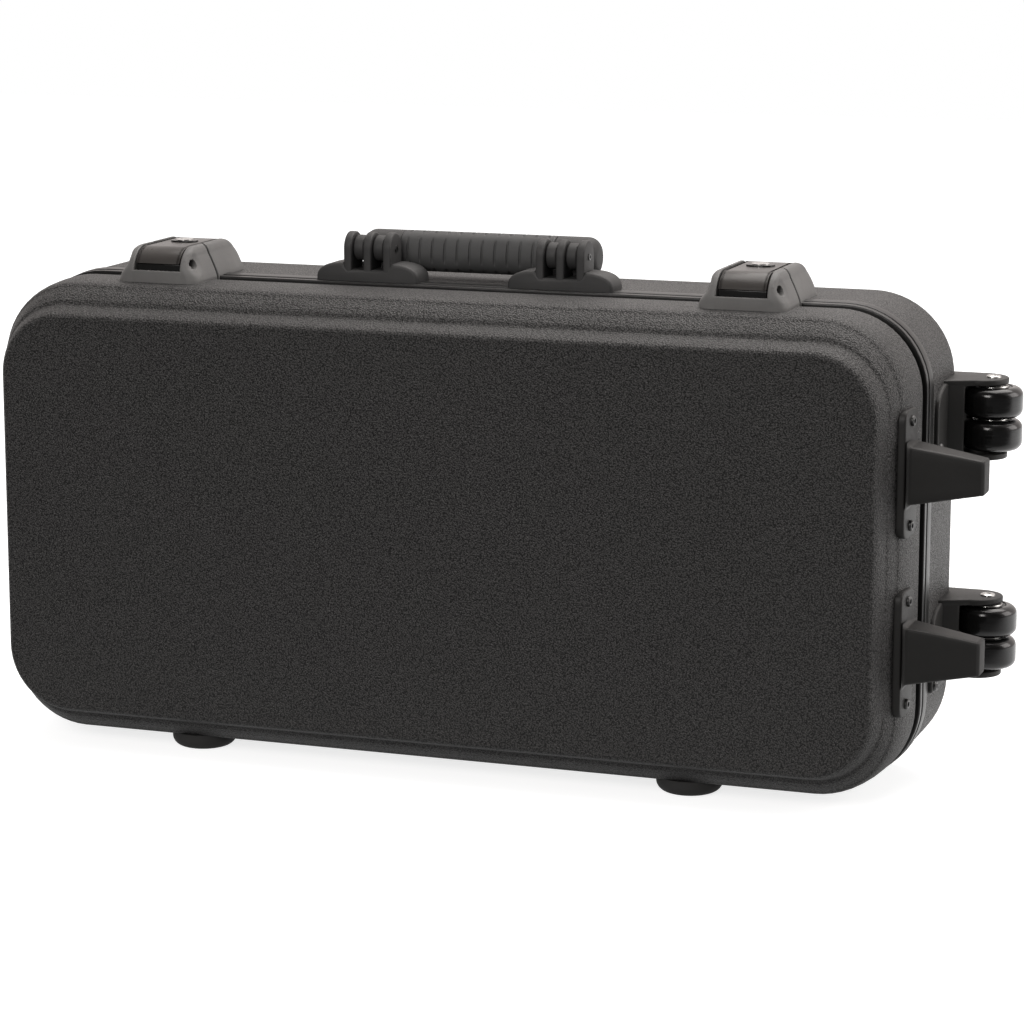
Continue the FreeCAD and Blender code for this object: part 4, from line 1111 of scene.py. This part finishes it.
@dataclass
class Handle(SubAssembly):
    """The folding handle: two finned brackets, the core with its arms and the slotted grip."""

    rail: float = 347.0
    bracket_x: float = 75.5
    reach: float = 40.5
    front: float = 8.5
    depth: float = 25.0
    lobe_length: float = 21.0
    lobe_height: float = 12.5
    lobe_foot: float = 1.0
    fullness: float = 0.86
    edge: float = 2.5
    fin: float = 6.2
    slot: float = 9.4
    slot_floor: float = 7.5
    slot_back: float = 11.0
    wall_thick: float = 3.5
    pivot_y: float = 21.0
    pivot_rise: float = 22.9
    ear: float = 12.0
    lug: float = 9.6
    lug_thick: float = 7.8
    bar_y: float = 52.0
    bar_rise: float = 18.4
    bar_radius: float = 15.2
    bar_half: float = 92.5
    bar_end: float = 9.0
    neck: float = 11.5
    arm_half: float = 9.5
    grip_radius: float = 15.4
    grip_half: float = 60.4
    grip_slots: int = 12
    slot_pitch: float = 9.9
    sink: float = 4.0

    def body_outline(self) -> Array:
        """Front view of a bracket without its fins: a full lobe at each end and the slot floor between.

        A lobe is a quarter of a full ellipse: its coordinates are the cosine and sine to a power under one.
        """
        turn = np.linspace(0, QUARTER, 22)
        x = self.reach - self.lobe_length * (1 - np.cos(turn) ** self.fullness)
        z = self.lobe_foot + (self.lobe_height - self.lobe_foot) * np.sin(turn) ** self.fullness
        foot, floor = (self.reach, -self.sink), (self.fin + self.slot, self.slot_floor)
        right = np.concatenate([[foot], np.stack([x, z], axis=-1), [floor]])
        return np.concatenate([right, right[::-1] * np.array([-1, 1])]) + np.array([0, self.rail])

    def fin_outline(self) -> Array:
        """Side view of a fin: straight sides under a half circle about the pivot."""
        turn = np.linspace(math.pi, 0, 25)
        pivot_z = self.rail + self.pivot_rise
        top = arc((self.pivot_y, pivot_z), (self.ear, self.ear), turn)
        low = self.rail - self.sink
        return np.concatenate([[(self.pivot_y - self.ear, low)], top, [(self.pivot_y + self.ear, low)]])

    def bracket(self, side: str, way: int) -> None:
        """One bracket: the lobed body, its three fins and the low wall behind the slots.

        Args:
            side: Side of the case.
            way: One for the right side, minus one for the left.
        """
        back = self.front + self.depth
        body = soft_prism(self.body_outline(), Axis.Y, self.front, back, self.edge, 5)
        grids = [body + np.array([self.bracket_x, 0, 0])]
        pitch = self.fin + self.slot
        for step in (-1, 0, 1):
            x = self.bracket_x + step * pitch
            grids.append(soft_prism(self.fin_outline(), Axis.X, x - self.fin / 2, x + self.fin / 2, 1.4, 4))
        low, high = self.rail + self.slot_floor - 2.0, self.rail + self.slot_back
        wall = np.array([(pitch, low), (pitch, high), (-pitch, high), (-pitch, low)])
        wall = wall + np.array([self.bracket_x, 0])
        grids.append(soft_prism(wall, Axis.Y, back - self.wall_thick, back, 0.6))
        skin = Skin()
        for grid in grids:
            skin.add_grid(grid if way > 0 else mirror_x(grid))
        name = side + "_handle_mount"
        self.join(skin, name, "base", "handle_plastic", [side + "_handle_bracket"])

    def core(self) -> None:
        """Turned bar with a neck under the grip, and a flat arm in each slot of the brackets."""
        bar_z = self.rail + self.bar_rise
        middle = (self.bar_radius - self.bar_end, self.bar_half - self.bar_end)
        cap = arc(middle, (self.bar_end, self.bar_end), np.linspace(QUARTER, 0, 8))
        shoulder = self.grip_half + 0.1
        step = [(self.bar_radius, self.grip_half + 0.6), (self.bar_radius - 0.5, shoulder)]
        half = np.concatenate([cap, step, [(self.neck, shoulder)]])
        skin = Skin().add_grid(turned(both_ends(half), (0, self.bar_y, bar_z), (1, 0, 0), 64))
        lug_turn = np.linspace(-QUARTER, -math.pi * 1.5, 25)
        lug = arc((self.pivot_y, self.rail + self.pivot_rise), (self.lug, self.lug), lug_turn)
        root = [(self.bar_y, bar_z + self.arm_half), (self.bar_y, bar_z - self.arm_half)]
        arm = np.concatenate([lug, root])
        for offset in (-1, 1):
            x = self.bracket_x + offset * (self.fin + self.slot) / 2
            grid = soft_prism(arm, Axis.X, x - self.lug_thick / 2, x + self.lug_thick / 2, 1.2)
            skin.add_grid(grid).add_grid(mirror_x(grid))
        self.join(skin, "handle_bar", "handle", "handle_plastic", ["handle_core"])

    def grip(self) -> None:
        """Grip sleeve: a squared circle with short slots pressed in on four sides.

        The radius is that of the curve |cos|^p + |sin|^p, less the slot depth where a flat-topped bell
        along the length meets one round the bar; both ends close on a quarter circle.
        """
        power, slot_width, slot_depth, end, tilt = 2.4, 0.75, 1.2, 1.5, math.radians(-8)
        along = np.linspace(-self.grip_half, self.grip_half, 420)
        turn = np.arange(112) * 2 * math.pi / 112
        round_share = (np.abs(np.cos(turn)) ** power + np.abs(np.sin(turn)) ** power) ** (-1 / power)
        round_share /= np.max(round_share * np.abs(np.sin(turn + tilt)))
        first = (self.grip_slots - 1) / 2 * self.slot_pitch
        phase = np.mod(along + first + self.slot_pitch / 2, self.slot_pitch) - self.slot_pitch / 2
        inside = np.abs(along) < first + self.slot_pitch / 2
        bell = np.exp(-((phase / slot_width) ** 4)) * inside
        window = np.exp(-((np.mod(turn + math.pi / 4, QUARTER) - math.pi / 4) / 0.58) ** 10)
        radius = self.grip_radius * round_share[None] - slot_depth * np.outer(bell, window)
        near_end = np.clip((self.grip_half - np.abs(along)) / end, 0, 1)
        radius -= end * (1 - np.sqrt(1 - (1 - near_end) ** 2))[:, None]
        y = self.bar_y + radius * np.cos(turn + tilt)
        z = self.rail + self.bar_rise + radius * np.sin(turn + tilt)
        grid = spread(along[:, None], y, z)
        self.join(Skin().add_grid(grid), "slotted_grip", "handle", "handle_rubber", ["handle_grip"])

    def build(self) -> None:
        """Both brackets, the core and the grip."""
        for side, way in (("right", 1), ("left", -1)):
            self.bracket(side, way)
        self.core()
        self.grip()


@dataclass
class Latches(SubAssembly):
    """The two draw latches: grey housings on both shells and the dark lever between their cheeks."""

    latch_x: float = 225.5
    top: float = 345.0
    height: float = 25.4
    front: float = 38.0
    split_front: float = 0.8
    split_rear: float = 1.8
    rear: float = 48.0
    nose_rise: float = 5.0
    back_rise: float = 10.0
    back_bend: float = 14.0
    window: float = 18.7
    sill: float = 2.5
    sill_rise: float = 8.2
    floor: float = 2.5
    sink: float = 3.0
    pocket_y: float = -30.0
    pocket_rise: float = 13.0
    pocket_way: float = 22.0
    pocket: tuple[float, float, float] = (3.6, 3.0, 7.0)
    dish: tuple[float, float] = (10.0, 2.0)
    channel_back: float = 45.0
    rear_lip: float = 15.0
    corner: float = 9.0
    lever_recess: float = 0.6
    lever_thick: float = 4.0
    lever_edge: float = 13.4
    lever_clear: float = 1.2
    pin: tuple[float, float] = (36.5, 17.0)
    web_y: float = 20.0
    side_wall: float = 3.0
    lock_y: float = 13.0
    oval: tuple[float, float, float] = (10.6, 8.0, 1.2)
    trigger: tuple[float, float, float, float] = (-34.2, -31.0, 5.4, 12.9)

    def cheek_half(self, rise: Array) -> Array:
        """Half width of a housing at a height: it leans in and rounds over at the crown."""
        rises = (-self.sink, 1.5, 5.0, 9.2, 14.0, 18.5, 21.0, 22.9, 24.4, self.height)
        halves = (33.2, 33.0, 31.9, 30.2, 28.0, 25.8, 24.9, 23.9, 22.7, 20.9)
        return np.interp(rise, rises, halves)

    def stack(
        self, rise: Array, x: tuple[Array, Array], y: tuple[Array, Array], corner: Array, steps: int
    ) -> Array:
        """Level rounded rectangles stacked up, between limits that change with height.

        Args:
            rise: Heights above the top of the shells.
            x: Inner and outer ends along the length at each height.
            y: Front and back at each height.
            corner: Radius of the outer front corner at each height; the other corners are small.
            steps: Steps in each side.

        Returns:
            Grid of rows, columns and three coordinates.
        """
        ones = np.ones(len(rise))
        half_x, half_y = (x[1] - x[0]) / 2 * ones, (y[1] - y[0]) / 2 * ones
        small = np.minimum(1.1, 0.9 * np.minimum(half_x, half_y))
        u, v = ring_rows(half_x, half_y, small, ring_shares(10, steps, (1, 1, 1, 0)))
        bend_u, bend_v = ring_rows(0 * ones, 0 * ones, corner, ring_shares(10, steps, (0, 0, 0, 1)))
        middle_x, middle_y = (x[0] + x[1]) / 2 * ones, (y[0] + y[1]) / 2 * ones
        across, deep = u + bend_u + middle_x[:, None], v + bend_v + middle_y[:, None]
        return spread(across, deep, self.top + rise[:, None])

    def front_cheek(self) -> Array:
        """Cheek on the lid: level sections behind the round nose, with a dished screw pocket pressed in.

        The pocket and the shallow dish round it move a point in by depths that grow towards their middle.
        """
        nose = self.height - self.nose_rise
        turn = np.linspace(0, QUARTER - 0.06, 64)
        skirt = np.linspace(0.5, self.nose_rise, 8)[:-1]
        rise = np.concatenate([[-self.sink], skirt, self.nose_rise + nose * np.sin(turn)])
        front = np.concatenate([np.full(8, -self.front), nose - self.front - nose * np.cos(turn)])
        outside = self.cheek_half(rise)
        corner = np.minimum(self.corner, 0.85 * (outside - self.window))
        limits = (np.array(self.window), outside), (front, np.array(-self.split_front))
        grid = self.stack(rise, *limits, corner, 84)
        way = math.radians(self.pocket_way)
        across, out = math.cos(way), math.sin(way)
        rim, floor, depth = self.pocket
        wide, shallow = self.dish
        seat_x = float(self.cheek_half(np.array(self.pocket_rise)))
        side = (grid[:, :, 0] - seat_x) * out + (grid[:, :, 1] - self.pocket_y) * across
        away = np.hypot(side, grid[:, :, 2] - self.top - self.pocket_rise)
        press = depth * np.clip((rim - away) / (rim - floor), 0, 1)
        press += shallow * np.clip(1 - (away / wide) ** 2, 0, 1) ** 2
        press *= grid[:, :, 0] > self.window + 3.5
        grid[:, :, 0] -= press * across
        grid[:, :, 1] += press * out
        return grid

    def rear_cheek(self) -> Array:
        """Cheek on the base: level sections in front of the rounded back."""
        turn = np.linspace(0, QUARTER - 0.06, 24)
        tall = self.height - self.back_rise
        skirt = np.linspace(0.5, self.back_rise, 6)[:-1]
        rise = np.concatenate([[-self.sink], skirt, self.back_rise + tall * np.sin(turn)])
        back = np.concatenate([np.full(6, self.rear), self.rear - self.back_bend * (1 - np.cos(turn))])
        limits = (np.array(self.window), self.cheek_half(rise)), (np.array(self.split_rear), back)
        return self.stack(rise, *limits, np.full(len(rise), 0.8), 12)

    def cross_wall(self, y0: float, y1: float, low: float, high: float, edge: float) -> Array:
        """Soft-edged bar between the cheeks."""
        z0, z1 = self.top + low, self.top + high
        outline = soft_outline([(y0, z0), (y1, z0), (y1, z1), (y0, z1)], edge)
        reach = self.window + 1.5
        return soft_prism(outline, Axis.X, -reach, reach, 0.1)

    def lever_side(self, filled: bool) -> Array:
        """Side view of the lever: round nose, flat crown and barrel, hollow below or filled at its ends."""
        radius = self.height - self.nose_rise - self.lever_recess
        nose_y, nose_z = self.height - self.nose_rise - self.front, self.top + self.nose_rise
        start = math.asin((self.lever_edge - self.nose_rise) / radius)
        turn = np.linspace(start, QUARTER, 18)
        outer = arc((nose_y, nose_z), (-radius, radius), turn)
        pin_y, pin_z = self.pin[0], self.top + self.pin[1]
        barrel = nose_z + radius - pin_z
        under = np.linspace(QUARTER, -math.pi, 30)
        rear = arc((pin_y, pin_z), (barrel, barrel), under)
        if filled:
            inner = np.array([(self.web_y, self.top + self.lever_edge)])
        else:
            thin = radius - self.lever_thick
            first = math.asin((self.lever_edge - self.nose_rise) / thin)
            back_turn = np.linspace(QUARTER, first, 16)
            hollow = arc((nose_y, nose_z), (-thin, thin), back_turn)
            inner = np.concatenate([[(self.web_y, nose_z + thin)], hollow])
        return np.concatenate([outer, rear, inner])

    def lever(self) -> Skin:
        """Lever plate and its two side walls."""
        half = self.window - self.lever_clear
        skin = Skin().add_grid(soft_prism(self.lever_side(False), Axis.X, -half, half, 0.7))
        for x in (-half, half - self.side_wall):
            skin.add_grid(soft_prism(self.lever_side(True), Axis.X, x + 0.1, x + self.side_wall - 0.1, 0.5))
        return skin

    def boss(self) -> Skin:
        """Oval boss round the lock: two half circles joined by straight sides."""
        half_length, half_width, proud = self.oval
        turn = np.arange(64) * 2 * math.pi / 64
        straight = half_length - half_width
        oval = arc((0, self.lock_y), (half_width, half_width), turn)
        oval[:, 0] += np.sign(np.cos(turn)) * straight
        crown = self.top + self.height - self.lever_recess
        return Skin().add_grid(soft_prism(oval, Axis.Z, crown - 2, crown + proud, 0.5))

    def press_strip(self) -> Skin:
        """Trigger: a strip under the front edge of the lever with an arm back to its pin."""
        front, back, low, high = self.trigger
        corners = [(front, low), (front, high), (back, high + 0.4)]
        corners += [(back + 4, high + 2.6), (back + 5.6, high + 1.6), (back + 4, high - 2.4)]
        corners += [(back, high - 3.6), (back, low)]
        outline = soft_outline(np.array(corners) + np.array([0, self.top]), 0.6)
        half = self.window - self.lever_clear
        return Skin().add_grid(soft_prism(outline, Axis.X, -half, half, 0.3))

    def latch(self, side: str, way: int) -> None:
        """One latch: both housings and the lever, moved to its place.

        Args:
            side: Side of the case.
            way: One for the right side, minus one for the left.
        """
        shift = np.array([way * self.latch_x, 0, 0])

        def housing(grids: list[Array], part: str, body: str) -> None:
            skin = Skin()
            for grid in grids:
                skin.add_grid(grid + shift)
            self.join(skin, f"{side}_{part}", body, "latch_grey", [f"{side}_latch_{part}"])

        cheek = self.front_cheek()
        sill_back = -self.front + self.sill
        sill = self.cross_wall(-self.front + 0.02, sill_back, -self.sink, self.sill_rise, 0.8)
        plate = self.cross_wall(sill_back - 0.5, -self.split_front, -self.sink, self.floor, 0.3)
        housing([cheek, mirror_x(cheek), sill, plate], "front_housing", "lid")
        cheek = self.rear_cheek()
        wall = self.cross_wall(self.channel_back, self.rear - 0.5, -self.sink, self.rear_lip, 1.6)
        plate = self.cross_wall(self.split_rear, self.channel_back + 0.5, -self.sink, self.floor + 2.0, 0.3)
        housing([cheek, mirror_x(cheek), wall, plate], "rear_housing", "base")
        moving = (
            (self.lever(), "draw_lever", "lever", "lever_dark", ["latch_lever"]),
            (self.boss(), "lock_boss", "lever", "trigger_black", []),
            (self.press_strip(), "press_strip", "trigger", "trigger_black", ["latch_trigger"]),
        )
        for skin, name, body, slot, nodes in moving:
            skin.points = [points + shift for points in skin.points]
            self.join(skin, f"{side}_{name}", f"{side}_{body}", slot, [f"{side}_{node}" for node in nodes])

    def build(self) -> None:
        """Both latches."""
        for side, way in (("left", -1), ("right", 1)):
            self.latch(side, way)


@dataclass
class CarriedNodes(SubAssembly):
    """Nodes whose own solids show: each gets its slot's finish."""

    def build(self) -> None:
        """Dress every node that nothing stands for."""
        for row in frame["record"]["subparts"]:
            piece = frame["nodes"][row["node"]]
            if piece.hide_render:
                continue
            self.wardrobe.dress(piece, row["material_slot"])
            LOG.info("node %s wears %s", row["node"], row["material_slot"])


@dataclass
class Studio:
    """Pale floor, soft light and the camera at the photograph's angle, in metres."""

    camera_at: Point = (0.8342, -2.3138, 0.6738)
    camera_to: Point = (0.0165, -0.013, 0.19055)
    lens: float = 118.55
    world_light: float = 0.42
    dark_side: float = 0.1
    glossy_hue: Colour = (1.0, 0.93, 0.90)
    lamp_hue: Colour = (1.0, 0.965, 0.94)

    def camera(self) -> None:
        """Camera aimed from one point to another."""
        data = bpy.data.cameras.new("camera")
        data.lens = self.lens
        data.sensor_width = 36.0
        seat = bpy.data.objects.new("camera", data)
        seat.location = self.camera_at
        look = Vector(self.camera_to) - Vector(self.camera_at)
        seat.rotation_euler = look.to_track_quat("-Z", "Y").to_euler()
        bpy.context.scene.collection.objects.link(seat)
        bpy.context.scene.camera = seat

    def lamp(self, name: str, at: tuple, to: tuple, size: float, power: float) -> None:
        """A square soft lamp aimed at a point.

        Args:
            name: Name of the lamp.
            at: Where it stands.
            to: What it is aimed at.
            size: Side of its square.
            power: Power in watts.
        """
        data = bpy.data.lights.new(name, "AREA")
        data.shape = "SQUARE"
        data.size = size
        data.energy = power
        data.color = self.lamp_hue
        lamp = bpy.data.objects.new(name, data)
        lamp.location = at
        lamp.rotation_euler = (Vector(to) - Vector(at)).to_track_quat("-Z", "Y").to_euler()
        bpy.context.scene.collection.objects.link(lamp)

    def background(self) -> None:
        """White where the camera and reflections see it, and a plain level of light for the rest."""
        world = bpy.data.worlds.new("studio")
        world.use_nodes = True
        world.node_tree.nodes.clear()
        nodes = Nodes(world.node_tree)
        camera = nodes.node("LightPath").outputs["Is Camera Ray"]
        hues = {0: camera, 6: (*self.glossy_hue, 1), 7: (1, 1, 1, 1)}
        hue = nodes.node("Mix", hues, data_type="RGBA").outputs[2]
        share = self.backdrop_share(nodes, nodes.node("TexCoord").outputs["Generated"], -0.45, 0.25)
        seen = nodes.node("Background", {"Color": hue, "Strength": share})
        light = nodes.node("Background", {"Color": (1, 1, 1, 1), "Strength": self.world_light})
        mix = nodes.node("MixShader", {0: self.seen_rays(nodes), 1: light.outputs[0], 2: seen.outputs[0]})
        nodes.node("OutputWorld", {"Surface": mix.outputs[0]})
        bpy.context.scene.world = world

    def backdrop_share(self, nodes: Nodes, place: Socket, front: float, back: float) -> Socket:
        """One for the camera; else one at the backdrop, falling to the dark of the room in front of it.

        Args:
            nodes: Node tree to add to.
            place: Place or direction, of which the second coordinate counts.
            front: Coordinate from which the room is dark.
            back: Coordinate from which the backdrop is full.

        Returns:
            The share.
        """
        away = nodes.node("SeparateXYZ", {0: place}).outputs["Y"]
        share = nodes.ramp(away, (front, back), (self.dark_side, 1.0))
        return nodes.sum(share, nodes.node("LightPath").outputs["Is Camera Ray"], "MAXIMUM")

    @staticmethod
    def seen_rays(nodes: Nodes) -> Socket:
        """One for rays from the camera, from reflections and through glass, and zero for the rest."""
        path = nodes.node("LightPath")
        share = path.outputs["Is Camera Ray"]
        for name in ("Is Glossy Ray", "Is Transmission Ray"):
            share = nodes.sum(share, path.outputs[name], "MAXIMUM")
        return share

    def floor(self) -> None:
        """Pale floor under the feet that shows white to the camera and keeps the shadow."""
        half = 6.0
        mesh = bpy.data.meshes.new("floor")
        corners = [(-half, -half, 0), (half, -half, 0), (half, half, 0), (-half, half, 0)]
        mesh.from_pydata(corners, [], [(0, 1, 2, 3)])
        floor = bpy.data.objects.new("floor", mesh)
        bpy.context.scene.collection.objects.link(floor)
        sheet = Sheet("floor_paper")
        sheet.fixed(Roughness=0.9, Specular_IOR_Level=0.0)
        share = self.backdrop_share(sheet, sheet.place, -0.35, 0.2)
        sheet.tint(share, (0, 0, 0), (0.55, 0.55, 0.55))
        away = sheet.node("VectorMath", {0: sheet.place}, operation="LENGTH").outputs["Value"]
        strength = sheet.sum(sheet.ramp(away, (0.5, 1.6), (0.78, 1.0)), share, "MULTIPLY")
        glow = sheet.node("Emission", {"Color": (1, 1, 1, 1), "Strength": strength})
        both = sheet.node("AddShader", {0: sheet.shader.outputs[0], 1: glow.outputs[0]})
        seen = self.seen_rays(sheet)
        mix = sheet.node("MixShader", {0: seen, 1: sheet.shader.outputs[0], 2: both.outputs[0]})
        sheet.feed(sheet.tree.nodes["Material Output"].inputs["Surface"], mix.outputs[0])
        mesh.materials.append(sheet.material)

    def build(self) -> None:
        """Set the stage."""
        bpy.context.scene.view_settings.view_transform = "Standard"
        self.camera()
        self.background()
        self.floor()
        self.lamp("overhead", (0.3, 0.6, 2.2), (0.0, 0.0, 0.2), 2.0, 50.0)
        self.lamp("front", (-0.2, -2.3, 1.3), (0.0, 0.0, 0.2), 1.0, 28.0)
        self.lamp("side", (2.3, 0.5, 1.1), (0.3, 0.0, 0.2), 1.4, 20.0)


def main() -> None:
    """Build the case in order."""
    logging.basicConfig(level=logging.INFO, format="%(message)s")
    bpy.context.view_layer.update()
    wardrobe = Wardrobe()
    shells = Shells(wardrobe)
    shells.build()
    Linings(wardrobe, shells).build()
    for assembly in (Feet, StandLegs, WheelSets, Handle, Latches):
        assembly(wardrobe).build()
    CarriedNodes(wardrobe).build()
    Studio().build()


if __name__ == "__main__":
    main()
